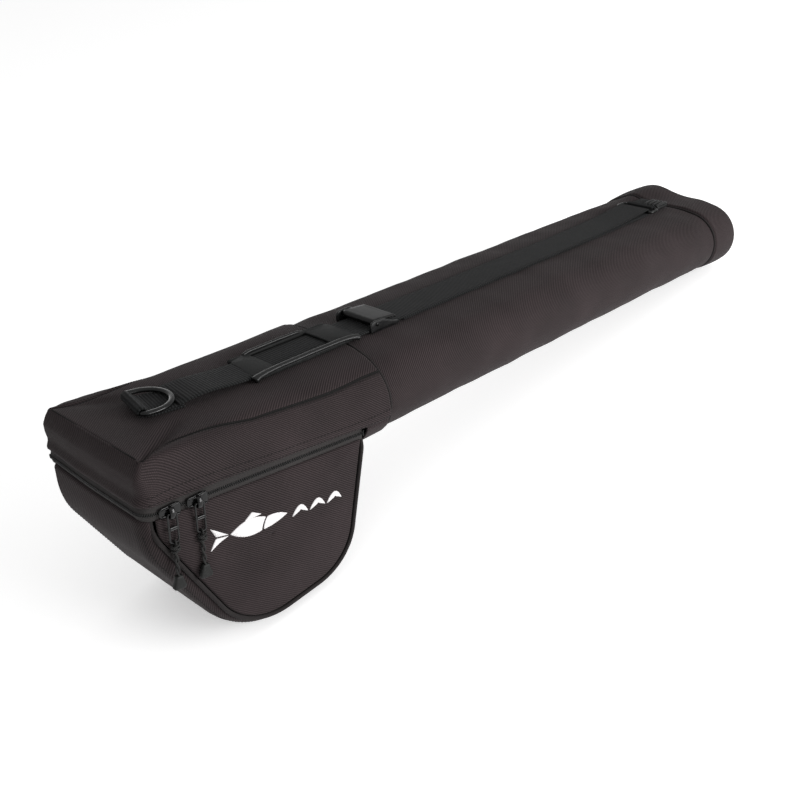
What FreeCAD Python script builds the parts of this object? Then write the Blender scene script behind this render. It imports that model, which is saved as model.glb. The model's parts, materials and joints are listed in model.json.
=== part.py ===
"""Travel case for two fly rods with their reels on.

A soft oval tube holds two rod tubes side by side.  A padded box-shaped head joins the tube's near end,
and a D-shaped reel pouch hangs under the head and opens along a zipper that runs round three sides.

Case frame, in millimetres: X runs from the near end of the head to the far end of the tube, +Y is the
left side and Z = 0 is the flat top.  Every piece is drawn in that frame.  Then one placement tips the
whole case until the pouch and the far end both stand on the floor.
"""
import FreeCAD, Part
import math
import os
import Sketcher
from FreeCAD import Placement, Rotation, Vector

SIZES = {
    # whole case
    "case_length": 800.0,
    "rest_tilt": 9.6,
    "body_gap": 0.3,
    # oval tube
    "tube_half_width": 80.0,
    "tube_half_height": 36.0,
    "oval_side_radius": 33.0,
    "cover_thickness": 2.0,
    "tube_start": 229.8,
    "cover_length": 523.2,
    "core_length": 554.0,
    "rod_tube_radius": 30.5,
    "rod_tube_wall": 1.5,
    "rod_tube_spread": 43.0,
    "core_bore_radius": 30.7,
    # far end
    "far_seam": 753.3,
    "welt_width": 3.4,
    "welt_rise": 1.5,
    "band_start": 757.0,
    "band_length": 40.0,
    "band_half_width": 82.0,
    "band_half_height": 39.0,
    "band_side_radius": 36.0,
    "band_drop": 35.5,
    "panel_thickness": 2.8,
    "pad_start": 784.2,
    "pad_thickness": 12.5,
    # throat between head and tube
    "throat_start": 207.4,
    "throat_length": 18.4,
    "throat_grow": 3.0,
    "throat_welt_start": 226.1,
    "throat_dip_z": 0.9,
    "throat_dip_width": 51.0,
    # head
    "head_near_half_width": 61.5,
    "side_near_half_width": 64.5,
    "side_flare": 3.3,
    "head_wall": 3.0,
    "near_corner_radius": 3.0,
    "zip_near_drop": 43.5,
    "zip_slope": 2.75,
    "zip_margin": 6.0,
    "head_pad_length": 188.0,
    "head_pad_width": 96.0,
    "head_pad_thickness": 4.0,
    # zipper
    "zip_near_x": -5.5,
    "zip_corner": 12.0,
    "zip_end": 199.0,
    "coil_gap": 1.1,
    "coil_height": 3.0,
    "coil_depth": 2.8,
    "tape_depth": 0.7,
    "slider_front_x": 15.5,
    "slider_rear_x": 38.5,
    "slider_length": 18.0,
    "slider_half_height": 5.6,
    # pouch
    "pouch_crown": 12.0,
    "near_edge_x": 4.9,
    "near_edge_z": -65.4,
    "near_edge_lean": 28.5,
    "far_edge_x": 194.0,
    "far_edge_z": -81.5,
    "far_edge_lean": 12.0,
    "near_bottom_radius": 46.0,
    "far_bottom_radius": 80.0,
    "crown_half_width": 46.0,
    "piping_radius": 1.8,
    "divider_thickness": 6.0,
    "hinge_x": 206.5,
    "hinge_z": -79.2,
    # straps and hardware
    "webbing_width": 38.0,
    "webbing_thickness": 1.8,
    "strap_top": 3.8,
    "strap_start": 84.4,
    "strap_sewn_end": 97.0,
    "strap_sewn_top": 7.8,
    "strap_flat_start": 119.0,
    "strap_flat_end": 640.0,
    "far_bar_x": 708.0,
    "far_bar_z": 4.0,
    "ring_wire": 1.6,
    "far_ring_width": 46.0,
    "far_ring_depth": 14.0,
    "d_ring_wire": 2.2,
    "d_ring_x": 43.0,
    "d_ring_y": 9.0,
    "d_ring_z": 6.4,
    "d_ring_yaw": -12.0,
    "d_ring_width": 42.0,
    "d_ring_arm": 8.0,
    "d_ring_corner": 2.6,
    "chape_width": 36.6,
    "grip_start": 138.0,
    "grip_length": 112.0,
    "grip_width": 48.0,
    "grip_height": 4.4,
    "grip_rail_seat": 19.9,
    "grip_window_length": 66.0,
    "grip_window_width": 34.0,
    "grip_channel_width": 39.4,
    "buckle_x": 272.0,
    "buckle_pivot_z": 7.4,
    "buckle_width": 46.0,
    "ear_thickness": 2.0,
    "lever_width": 40.8,
    "lever_barrel": 3.1,
    "lever_length": 26.0,
    "pivot_radius": 1.5,
    # zipper pulls
    "pull_stand_off": 4.2,
    "pull_pivot_drop": 2.0,
    "pull_bar_radius": 0.9,
    "tab_width": 9.0,
    "tab_length": 25.0,
    "cord_diameter": 1.6,
    "cord_end_drop": 54.5,
    "end_height": 11.5,
    "end_width": 13.0,
}

doc = FreeCAD.newDocument("rod_case")
sheet = doc.addObject("Spreadsheet::Sheet", "Sizes")
for row, (alias, number) in enumerate(SIZES.items(), start=1):
    sheet.set("A%d" % row, alias)
    sheet.set("B%d" % row, str(number))
    sheet.setAlias("B%d" % row, alias)
doc.recompute()

nodes = []


def size(alias):
    return float(sheet.get(alias))


def add_node(node):
    nodes.append(node)
    return node


def feature(label, shape):
    """A piece whose shape is worked out directly from the sheet's sizes."""
    node = doc.addObject("Part::Feature", label)
    node.Shape = shape
    return add_node(node)


# ---------------------------------------------------------------- sketch and wire helpers

def new_sketch(body, role, start=None):
    """A sketch on one of its body's own origin planes, moved out along the normal by a sheet size."""
    plane = [item for item in body.Origin.OriginFeatures if item.Role == role][0]
    sketch = body.newObject("Sketcher::SketchObject", body.Name + "_sketch")
    sketch.AttachmentSupport = [(plane, "")]
    sketch.MapMode = "FlatFace"
    if start:
        sketch.setExpression("AttachmentOffset.Base.z", start)
    return sketch


def add_pad(body, sketch, length, midplane=False, flip=False):
    pad = body.newObject("PartDesign::Pad", body.Name + "_pad")
    pad.Profile = sketch
    pad.setExpression("Length", length)
    pad.Midplane = midplane
    pad.Reversed = flip
    doc.recompute()
    return pad


def add_pocket(body, sketch, depth, midplane=False, flip=False):
    """A pocket, checked to have really removed material."""
    before = body.Shape.Volume
    pocket = body.newObject("PartDesign::Pocket", body.Name + "_pocket")
    pocket.Profile = sketch
    pocket.setExpression("Length", depth)
    pocket.Midplane = midplane
    pocket.Reversed = flip
    doc.recompute()
    if body.Shape.Volume > before - 1.0:
        raise RuntimeError("pocket in %s removes nothing" % body.Label)
    return pocket


def rectangle(sketch, centre, width, height):
    """A rectangle whose width and height follow two sheet expressions."""
    x, y = centre
    corners = [Vector(x - 1, y - 1), Vector(x + 1, y - 1), Vector(x + 1, y + 1), Vector(x - 1, y + 1)]
    first = sketch.GeometryCount
    for i in range(4):
        sketch.addGeometry(Part.LineSegment(corners[i], corners[(i + 1) % 4]), False)
    for i in range(4):
        sketch.addConstraint(Sketcher.Constraint("Coincident", first + i, 2, first + (i + 1) % 4, 1))
    for i in (0, 2):
        sketch.addConstraint(Sketcher.Constraint("Horizontal", first + i))
        sketch.addConstraint(Sketcher.Constraint("Vertical", first + i + 1))
    wide = sketch.addConstraint(Sketcher.Constraint("DistanceX", first, 1, first, 2, 2.0))
    tall = sketch.addConstraint(Sketcher.Constraint("DistanceY", first + 1, 1, first + 1, 2, 2.0))
    sketch.setExpression("Constraints[%d]" % wide, width)
    sketch.setExpression("Constraints[%d]" % tall, height)
    left = sketch.addConstraint(Sketcher.Constraint("DistanceX", -1, 1, first, 1, x - 1))
    low = sketch.addConstraint(Sketcher.Constraint("DistanceY", -1, 1, first, 1, y - 1))
    sketch.setExpression("Constraints[%d]" % left, "%.3f - (%s) / 2" % (x, width))
    sketch.setExpression("Constraints[%d]" % low, "%.3f - (%s) / 2" % (y, height))


def oval_arcs(half_width, half_height, side_radius, drop):
    """Four tangent arcs: two round sides joined by a nearly flat top and bottom."""
    reach = half_width - side_radius
    flat_radius = (reach ** 2 + half_height ** 2 - side_radius ** 2) / (2 * (half_height - side_radius))
    lean = math.atan2(flat_radius - half_height, reach)
    up = Vector(0, 0, 1)
    arcs = []
    for side in (0.0, math.pi):
        centre = Vector(reach * math.cos(side), -drop, 0)
        arcs.append(Part.ArcOfCircle(Part.Circle(centre, up, side_radius), side - lean, side + lean))
    for turn, sign in ((math.pi / 2, 1), (-math.pi / 2, -1)):
        centre = Vector(0, -drop - sign * (flat_radius - half_height), 0)
        spread = math.pi / 2 - lean
        arcs.append(Part.ArcOfCircle(Part.Circle(centre, up, flat_radius), turn - spread, turn + spread))
    return arcs


def tube_oval(grow):
    """The tube's own oval, grown outward by grow (or shrunk, when it is negative)."""
    return oval_arcs(size("tube_half_width") + grow, size("tube_half_height") + grow,
                     size("oval_side_radius") + grow, size("tube_half_height"))


def band_oval(grow):
    """The far cap's oval, a little larger than the tube's."""
    return oval_arcs(size("band_half_width") + grow, size("band_half_height") + grow,
                     size("band_side_radius") + grow, size("band_drop"))


def length_piece(label, geometry, start, length):
    """A piece of constant section along X: a sketch across the case and one pad."""
    body = doc.addObject("PartDesign::Body", label)
    sketch = new_sketch(body, "YZ_Plane", start)
    sketch.addGeometry(geometry, False)
    add_pad(body, sketch, length)
    return add_node(body)


def bent_wire(points, radii, closed=False):
    """Straight runs through the points, with a tangent arc of its own radius at each."""
    count = len(points)
    ends = []
    for i, (point, radius) in enumerate(zip(points, radii)):
        open_end = not closed and i in (0, count - 1)
        if radius == 0 or open_end:
            ends.append((point, None, point))
            continue
        back = (points[i - 1] - point).normalize()
        ahead = (points[(i + 1) % count] - point).normalize()
        half = back.getAngle(ahead) / 2
        inward = (back + ahead).normalize()
        reach = radius / math.tan(half)
        middle = point + inward * (radius / math.sin(half) - radius)
        ends.append((point + back * reach, middle, point + ahead * reach))
    edges = []
    for i, (first, middle, last) in enumerate(ends):
        if middle is not None:
            edges.append(Part.Arc(first, middle, last).toShape())
        if closed or i < count - 1:
            start = ends[(i + 1) % count][0]
            if last.distanceToPoint(start) > 1e-6:
                edges.append(Part.LineSegment(last, start).toShape())
    return Part.Wire(edges)


def round_sweep(path, radius, closed=False):
    """A round bar of the given radius along a wire of runs and tangent arcs."""
    first = path.Edges[0]
    start = first.valueAt(first.FirstParameter)
    along = first.tangentAt(first.FirstParameter)
    profile = Part.Wire([Part.makeCircle(radius, start, along)])
    swept = path.makePipeShell([profile], True, True)
    expected = math.pi * radius ** 2 * path.Length
    if abs(swept.Volume / expected - 1) > 0.03:
        raise RuntimeError("a swept bar has the wrong volume")
    return swept


def box_at(x, y, z):
    """A box given by its low and high limits along each axis."""
    return Part.makeBox(x[1] - x[0], y[1] - y[0], z[1] - z[0], Vector(x[0], y[0], z[0]))


# ---------------------------------------------------------------- side planes and zipper line

def side_frame(side):
    """Placement of a flared side: local XZ is the side, local Y points out of it for the left side."""
    turn = Rotation(Vector(0, 0, 1), side * size("side_flare"))
    return Placement(Vector(0, side * size("side_near_half_width"), 0), turn)


def half_width(x):
    return size("side_near_half_width") + x * math.tan(math.radians(size("side_flare")))


def zip_height(x):
    return -size("zip_near_drop") - x * math.tan(math.radians(size("zip_slope")))


def zip_slab(low, high):
    """The slab that lies between two heights measured from the sloping zipper line."""
    start = -size("zip_near_drop")
    slab = box_at((-60, 340), (-150, 150), (start + low, start + high))
    slab.rotate(Vector(0, 0, start), Vector(0, 1, 0), size("zip_slope"))
    return slab


def zip_band(outer_inset, inner_inset, low, high):
    """A band that runs up one side, round the near end and back along the other side."""
    end = size("zip_end")
    outline = []
    for inset in (outer_inset, inner_inset):
        near = size("zip_near_x") + inset
        points = [Vector(end, inset - half_width(end), 0), Vector(near, inset - half_width(near), 0),
                  Vector(near, half_width(near) - inset, 0), Vector(end, half_width(end) - inset, 0)]
        corner = size("zip_corner") - inset
        outline.append(bent_wire(points, [0, corner, corner, 0]))
    closing = []
    for vertex in (0, -1):
        tips = [wire.OrderedVertexes[vertex].Point for wire in outline]
        closing.append(Part.LineSegment(tips[0], tips[1]).toShape())
    loop = Part.Wire(Part.__sortEdges__(outline[0].Edges + outline[1].Edges + closing))
    band = Part.Face(loop).extrude(Vector(0, 0, -120))
    return band.common(zip_slab(low, high)).Solids[0]


# ---------------------------------------------------------------- tube and far end

def make_tube():
    inner = -size("cover_thickness")
    length_piece("tube_cover", tube_oval(0) + tube_oval(inner), "Sizes.tube_start", "Sizes.cover_length")
    up = Vector(0, 0, 1)
    bores = []
    for side in (1, -1):
        centre = Vector(side * size("rod_tube_spread"), -size("tube_half_height"), 0)
        bores.append(Part.Circle(centre, up, size("core_bore_radius")))
    length_piece("foam_core", tube_oval(inner - size("body_gap")) + bores, "Sizes.tube_start", "Sizes.core_length")
    for name, side in (("rod_tube_left", 1), ("rod_tube_right", -1)):
        centre = Vector(side * size("rod_tube_spread"), -size("tube_half_height"), 0)
        walls = [Part.Circle(centre, up, size("rod_tube_radius")),
                 Part.Circle(centre, up, size("rod_tube_radius") - size("rod_tube_wall"))]
        length_piece(name, walls, "Sizes.tube_start", "Sizes.core_length")


def make_far_end():
    wall = -size("cover_thickness")
    length_piece("far_welt", tube_oval(size("welt_rise")) + tube_oval(wall), "Sizes.far_seam", "Sizes.welt_width")
    length_piece("far_band", band_oval(0) + band_oval(wall - 0.8), "Sizes.band_start", "Sizes.band_length - 0.3")
    length_piece("far_panel", band_oval(0), "Sizes.case_length - Sizes.panel_thickness",
                 "Sizes.panel_thickness")
    length_piece("far_pad", tube_oval(wall - 1.0), "Sizes.pad_start", "Sizes.pad_thickness")


def make_throat():
    grow = size("throat_grow")
    ring = length_piece("throat_ring", tube_oval(grow) + tube_oval(0.3), "Sizes.throat_start",
                        "Sizes.throat_length")
    welt = length_piece("throat_welt", tube_oval(grow + size("welt_rise")) + tube_oval(0.3),
                        "Sizes.throat_welt_start", "Sizes.welt_width")
    for body in (ring, welt):
        dip = new_sketch(body, "XY_Plane", "Sizes.throat_dip_z")
        rectangle(dip, (size("throat_start") + 12.0, 0.0), "40", "Sizes.throat_dip_width")
        add_pocket(body, dip, "8 mm", flip=True)
    low = -2 * size("tube_half_height") - grow
    length = (size("throat_start") + 1.0, size("throat_start") + size("throat_length"))
    feature("hinge_strip", box_at(length, (-58, 58), (low - 2.0, low - 0.1)))


# ---------------------------------------------------------------- head

def head_section(x, inset, below=0.0):
    """Section of the head at x: it starts boxy and turns into the throat's oval.

    Its sides go on straight down by below, so that a hollow can be cut right through the bottom.
    """
    share = x / size("throat_start")
    top = -inset
    low = zip_height(x) + size("zip_margin")
    foot = half_width(x) - inset + share * 2.0
    belly = size("head_near_half_width") + 1.8 + share * (size("tube_half_width") - 60.3) - inset
    belly_z = low * (1 - share) * 0.55 - share * size("tube_half_height")
    radius = max(1.0, size("near_corner_radius") + share * (size("oval_side_radius") - 1.0) - inset)
    shoulder = size("head_near_half_width") + share * (size("tube_half_width") - 58.5) - inset
    flat = shoulder - radius
    turn = math.sqrt(0.5) * radius
    half = [Vector(x, foot, low), Vector(x, belly, belly_z), Vector(x, shoulder, min(top - radius, -1.0)),
            Vector(x, flat + turn, top - radius + turn), Vector(x, flat, top)]
    other = [Vector(point.x, -point.y, point.z) for point in half]
    base = [Vector(x, -foot, low - below), Vector(x, foot, low - below)]
    edges = [Part.LineSegment(base[0], base[1])]
    if below:
        edges.append(Part.LineSegment(base[1], half[0]))
    edges += [Part.Arc(half[0], half[1], half[2]), Part.Arc(half[2], half[3], half[4])]
    edges.append(Part.LineSegment(half[4], other[4]))
    edges += [Part.Arc(other[4], other[3], other[2]), Part.Arc(other[2], other[1], other[0])]
    if below:
        edges.append(Part.LineSegment(other[0], base[0]))
    return Part.Wire([edge.toShape() for edge in edges])


def make_head():
    wall = size("head_wall")
    gap = size("body_gap")
    stations = [wall + gap, size("throat_start") - gap]
    outer = Part.makeLoft([head_section(x, 0) for x in stations], True, True)
    sections = [head_section(x, wall, 10.0) for x in (stations[0] - 1.0, stations[1] + 1.0)]
    shell = outer.cut(Part.makeLoft(sections, True, True))
    feature("head_shell", max(shell.Solids, key=lambda solid: solid.Volume))

    plate = Part.Face(head_section(0, 0)).extrude(Vector(wall, 0, 0))
    feature("near_panel", plate)

    body = doc.addObject("PartDesign::Body", "head_pad")
    sketch = new_sketch(body, "XY_Plane", "-Sizes.head_wall - Sizes.head_pad_thickness - 1.5")
    rectangle(sketch, (102.0, 0.0), "Sizes.head_pad_length", "Sizes.head_pad_width")
    add_pad(body, sketch, "Sizes.head_pad_thickness")
    add_node(body)


# ---------------------------------------------------------------- zipper

def make_zipper():
    gap = size("coil_gap")
    top = gap + size("coil_height")
    tape = (size("coil_depth") + 0.5, size("coil_depth") + 0.5 + size("tape_depth"))
    edge = size("zip_margin") - 0.3
    feature("zip_coil_upper", zip_band(-0.2, size("coil_depth"), gap, top))
    feature("zip_coil_lower", zip_band(-0.2, size("coil_depth"), -top, -gap))
    feature("zip_tape_upper", zip_band(tape[0], tape[1], gap, edge))
    feature("zip_tape_lower", zip_band(tape[0], tape[1], -edge, -gap))
    stops = []
    for side in (1, -1):
        stop = box_at((200.0, 205.5), (-3.4, 0.2), (-3.0, 3.0))
        stop = stop.makeFillet(0.8, stop.Edges)
        place = Placement(Vector(0, side * half_width(0) + (3.4 if side < 0 else 0), zip_height(203)),
                          Rotation(Vector(0, 0, 1), side * size("side_flare")))
        stop.Placement = place
        stops.append(stop)
    feature("zip_end_stops", Part.makeCompound(stops))


def slider_place(x):
    """Where a slider sits: on the right side at x, local X along its travel and -Y outward."""
    turn = Rotation(Vector(0, 0, 1), -size("side_flare")).multiply(Rotation(Vector(0, 1, 0), size("zip_slope")))
    return Placement(Vector(x, -half_width(x), zip_height(x)), turn)


def slider_shape():
    """Two shield-shaped plates, the post between them, and the bridge that holds the pull."""
    reach = size("slider_length") / 2
    tall = size("slider_half_height")
    outline = [Vector(-reach, 0, -tall * 0.66), Vector(reach, 0, -tall), Vector(reach, 0, tall),
               Vector(-reach, 0, tall * 0.66)]
    face = Part.Face(bent_wire(outline, [2.0, 2.5, 2.5, 2.0], True))
    front = face.extrude(Vector(0, -1.8, 0))
    front.translate(Vector(0, -0.6, 0))
    back = face.extrude(Vector(0, 1.3, 0))
    back.translate(Vector(0, size("coil_depth") + size("tape_depth") + 0.9, 0))
    post = box_at((-4, 4), (-0.7, size("coil_depth") + size("tape_depth") + 1.0), (-0.8, 0.8))
    drop = -size("pull_pivot_drop")
    bridge = box_at((-2, 2), (-size("pull_stand_off") - 1.8, -2.3), (drop - 3.6, drop + 3.0))
    bridge = bridge.makeFillet(1.0, [edge for edge in bridge.Edges if edge.CenterOfMass.y < -5.5])
    hole = Part.makeCylinder(size("pull_bar_radius") + 0.07, 8, Vector(-4, -size("pull_stand_off"), drop),
                             Vector(1, 0, 0))
    return front.fuse([back, post, bridge]).cut(hole).removeSplitter().Solids[0]


def tab_shape():
    """The pull tab: two rails, a round bar through the bridge, a crossbar and a round end bar."""
    width = size("tab_width") / 2
    thick = size("pull_bar_radius")
    y = -size("pull_stand_off")
    top = -size("pull_pivot_drop")
    low = top - size("tab_length") + 1.0
    rails = []
    for side in (1, -1):
        inner, outer = sorted((side * (width - 1.7), side * width))
        rails.append(box_at((inner, outer), (y - thick, y + thick), (low, top)))
    middle = (top + low) / 2
    crossbar = box_at((-width + 0.5, width - 0.5), (y - thick, y + thick), (middle - 1.0, middle + 1.0))
    bars = []
    for z, radius in ((top, thick), (low, 0.8)):
        bars.append(Part.makeCylinder(radius, 2 * width, Vector(-width, y, z), Vector(1, 0, 0)))
    rounds = []
    for side in (1, -1):
        inner = min(side * width, side * (width - 1.7))
        rounds.append(Part.makeCylinder(thick, 1.7, Vector(inner, y, top), Vector(1, 0, 0)))
        rounds.append(Part.makeCylinder(thick, 1.7, Vector(inner, y, low), Vector(1, 0, 0)))
    return rails[0].fuse([rails[1], crossbar] + bars + rounds).removeSplitter().Solids[0]


def cord_route():
    """Points of a pull's cord: up one twisted leg, over the tab's end bar and down the other leg."""
    y = -size("pull_stand_off")
    bar_z = -size("pull_pivot_drop") - size("tab_length") + 1.0
    fold = 1.75
    twist_radius = 1.5
    quarter_turns = 6
    first = bar_z - 3.0
    step = (size("cord_end_drop") + first) / quarter_turns
    legs = []
    for phase in (-math.pi / 2, math.pi / 2):
        leg = []
        for k in range(quarter_turns + 1):
            turn = phase + k * math.pi / 2
            place = Vector(twist_radius * math.cos(turn), y + twist_radius * math.sin(turn), first - k * step)
            leg.append(place)
        legs.append(leg)
    top = bar_z + fold
    over = [Vector(0, y - fold, top), Vector(0, y + fold, top)]
    return legs[0][::-1] + over + legs[1]


def cord_tube(points, diameter):
    """Straight runs joined by arcs, each as large as its two runs allow."""
    radii = [0]
    for before, point, after in zip(points, points[1:], points[2:]):
        shorter = min((before - point).Length, (after - point).Length)
        turn = math.pi - (before - point).getAngle(after - point)
        radii.append(0.45 * shorter / math.tan(turn / 2))
    radii.append(0)
    wire = bent_wire(points, radii)
    print("cord: length %.1f, tightest radius %.2f" % (wire.Length, min(radii[1:-1])))
    return round_sweep(wire, diameter / 2)


def end_shape():
    """The flared moulded end that grips both legs of the cord."""
    top = -size("cord_end_drop") - 0.02
    low = top - size("end_height")
    wide = size("end_width") / 2
    y = -size("pull_stand_off")
    outline = [Vector(-2.8, y, top), Vector(2.8, y, top), Vector(wide, y, low), Vector(-wide, y, low)]
    face = Part.Face(bent_wire(outline, [1.0, 1.0, 2.2, 2.2], True))
    block = face.extrude(Vector(0, 5.0, 0))
    block.translate(Vector(0, -2.5, 0))
    rims = [edge for edge in block.Edges if abs(edge.CenterOfMass.y - y) > 2.4]
    return block.makeFillet(1.2, rims)


def make_pulls():
    shapes = {"slider": slider_shape(), "pull_tab": tab_shape(),
              "pull_cord": cord_tube(cord_route(), size("cord_diameter")), "pull_end": end_shape()}
    for place_name, x in (("front", size("slider_front_x")), ("rear", size("slider_rear_x"))):
        for name, shape in shapes.items():
            placed = feature("%s_%s" % (name, place_name), shape)
            placed.Placement = slider_place(x)


# ---------------------------------------------------------------- pouch

def line_crossing(first, second):
    """Where two lines of the XZ plane meet; each is a point and a direction."""
    (p, d), (q, e) = first, second
    cross = d.x * e.z - d.z * e.x
    reach = ((q.x - p.x) * e.z - (q.z - p.z) * e.x) / cross
    return p + d * reach


def pouch_outline(grow, top_drop, crowned=False):
    """The D outline in the XZ plane, grown outward, with its top edge below the zipper by top_drop.

    Its straight bottom lies parallel to the floor line that the far end and the pouch both touch.
    """
    tilt = math.radians(size("rest_tilt"))
    lean = math.radians(size("near_edge_lean"))
    far_lean = math.radians(size("far_edge_lean"))
    slope = math.radians(size("zip_slope"))
    near = Vector(math.sin(lean), 0, -math.cos(lean))
    bottom = Vector(math.cos(tilt), 0, math.sin(tilt))
    far = Vector(math.sin(far_lean), 0, math.cos(far_lean))
    outward = [Vector(-math.cos(lean), 0, -math.sin(lean)), Vector(math.sin(tilt), 0, -math.cos(tilt)),
               Vector(math.cos(far_lean), 0, -math.sin(far_lean))]
    foot = Vector(size("case_length"), 0, -size("band_drop") - size("band_half_height"))
    near_line = (Vector(size("near_edge_x"), 0, size("near_edge_z")) + outward[0] * grow, near)
    bottom_line = (foot + outward[1] * (grow - size("pouch_crown")), bottom)
    far_grow = min(grow, 8.0)
    far_line = (Vector(size("far_edge_x"), 0, size("far_edge_z")) + outward[2] * far_grow, far)
    top_line = (Vector(0, 0, -size("zip_near_drop") - top_drop), Vector(math.cos(slope), 0, -math.sin(slope)))
    points = [line_crossing(near_line, bottom_line), line_crossing(bottom_line, far_line),
              line_crossing(far_line, top_line)]
    radii = [size("near_bottom_radius") + grow, size("far_bottom_radius") + far_grow, 0]
    if crowned:
        front_line = (Vector(size("zip_near_x"), 0, 0), Vector(0, 0, -1))
        points += [line_crossing(front_line, top_line), line_crossing(front_line, near_line)]
        radii += [0, 30.0]
    else:
        points.append(line_crossing(near_line, top_line))
        radii.append(0)
    return points, radii


def on_side(shape, side, inset):
    """Moves a shape from the XZ plane onto a flared side, inset from its face."""
    placed = shape.copy()
    placed.translate(Vector(0, -side * inset, 0))
    placed.Placement = side_frame(side).multiply(placed.Placement)
    return placed


def make_pouch():
    wall = size("head_wall")
    rim = 4.4
    outline = bent_wire(*pouch_outline(0, rim), True)
    piping_points, piping_radii = pouch_outline(size("piping_radius") + 0.2, rim)
    open_points = piping_points[-1:] + piping_points[:-1]
    open_radii = piping_radii[-1:] + piping_radii[:-1]
    piping = round_sweep(bent_wire(open_points, open_radii), size("piping_radius"))
    for name, side in (("left", 1), ("right", -1)):
        panel = Part.Face(outline).extrude(Vector(0, -side * wall, 0))
        feature("pouch_panel_" + name, on_side(panel, side, 0))
        feature("piping_" + name, on_side(piping, side, wall / 2))
    make_gusset(wall + size("body_gap") + 0.2)
    make_divider()


def make_gusset(inset):
    """The padded strip between the two D panels: near slope, bottom and far wall, crowned outward."""
    rim = size("zip_margin") + 1.3
    skin = []
    hollow = []
    for side in (1, -1):
        skin.append(on_side(bent_wire(*pouch_outline(1.0, rim), True), side, inset))
        hollow.append(on_side(bent_wire(*pouch_outline(-2.5, rim - 30), True), side, inset - 0.2))
    side_loft = Part.makeLoft(skin, True, True)
    reach = size("crown_half_width")
    crown = Part.Face(bent_wire(*pouch_outline(size("pouch_crown"), rim, True), True))
    crown = crown.extrude(Vector(0, 2 * reach, 0))
    crown.translate(Vector(0, -reach, 0))
    steps = []
    for share, width in ((0.72, 53.0), (0.4, 58.0)):
        step = Part.Face(bent_wire(*pouch_outline(size("pouch_crown") * share, rim, False), True))
        step = step.extrude(Vector(0, 2 * width, 0))
        step.translate(Vector(0, -width, 0))
        steps.append(step)
    front_trim = box_at((-40, size("zip_near_x")), (-100, 100), (-220, 0))
    solid = side_loft.fuse([crown] + steps).cut(front_trim)
    doorway = box_at((120, 260), (-100, 100), (size("hinge_z") + 1.5, 0))
    solid = solid.cut(Part.makeLoft(hollow, True, True)).cut(doorway)
    feature("pouch_gusset", max(solid.removeSplitter().Solids, key=lambda part: part.Volume))


def make_divider():
    """A padded board that keeps the two reels apart."""
    half = size("divider_thickness") / 2
    corners = [Vector(40, -half, -62), Vector(78, -half, -150), Vector(150, -half, -148),
               Vector(176, -half, -86), Vector(176, -half, -62)]
    board = Part.Face(bent_wire(corners, [6, 18, 22, 10, 6], True)).extrude(Vector(0, 2 * half, 0))
    feature("reel_divider", board.makeFillet(1.5, [edge for edge in board.Edges
                                                    if abs(edge.CenterOfMass.y) > half - 0.01]))


def make_emblem():
    """A plain leaping fish above two waves, worked in raised thread on the right panel."""
    thread = 0.8
    turn = Placement(Vector(44, 0, -84), Rotation(Vector(0, 1, 0), 5.8))
    fish = Part.Wire([Part.Arc(Vector(16, 0, 0), Vector(40, 0, 10), Vector(70, 0, 2)).toShape(),
                      Part.Arc(Vector(70, 0, 2), Vector(44, 0, -8), Vector(16, 0, 0)).toShape()])
    tail = bent_wire([Vector(15, 0, 0), Vector(0, 0, 9), Vector(5, 0, 0), Vector(0, 0, -9)], [0, 1, 0, 1], True)
    shapes = [fish, tail]
    for k in range(3):
        left = 76 + 18 * k
        crest = Part.Arc(Vector(left, 0, -4), Vector(left + 8, 0, 3), Vector(left + 16, 0, -4)).toShape()
        trough = Part.Arc(Vector(left + 16, 0, -4), Vector(left + 8, 0, -2), Vector(left, 0, -4)).toShape()
        shapes.append(Part.Wire([crest, trough]))
    solids = []
    for shape in shapes:
        solid = Part.Face(shape).extrude(Vector(0, -thread, 0))
        solid.Placement = turn
        solids.append(on_side(solid, -1, -0.06))
    feature("emblem", Part.makeCompound(solids))


# ---------------------------------------------------------------- straps and hardware

def webbing_run(tops):
    """One layer of the carry strap, from (x, top z) knots."""
    thick = size("webbing_thickness")
    width = size("webbing_width")
    upper = [Vector(x, -width / 2, z) for x, z in tops]
    lower = [point - Vector(0, 0, thick) for point in reversed(upper)]
    face = Part.Face(Part.makePolygon(upper + lower + [upper[0]]))
    return face.extrude(Vector(0, width, 0))


def make_straps():
    width = size("webbing_width")
    thick = size("webbing_thickness")
    top = size("strap_top")
    bar = Vector(size("far_bar_x"), -width / 2, size("far_bar_z"))
    turn = size("ring_wire") + 0.1 + thick
    flat_end = size("strap_flat_end")
    upper = webbing_run([(size("strap_start"), size("strap_sewn_top")), (size("strap_sewn_end"), size("strap_sewn_top")),
                         (size("strap_flat_start"), top), (flat_end, top), (bar.x, bar.z + turn)])
    lower = webbing_run([(308, 1.9), (flat_end, 1.9), (bar.x, bar.z - turn + thick)])
    across = Vector(0, 1, 0)
    loop = Part.makeCylinder(turn, width, bar, across)
    hole = Part.makeCylinder(turn - thick, width, bar, across)
    keep = box_at((bar.x, bar.x + 10), (-width, width), (-20, 20))
    loop = loop.cut(hole).common(keep)
    feature("carry_strap", upper.fuse([lower, loop]).removeSplitter().Solids[0])
    feature("strap_anchor", box_at((size("strap_start"), size("strap_sewn_end")), (-width / 2, width / 2),
                                   (0.3, size("strap_sewn_top") - thick - 0.1)))


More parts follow.
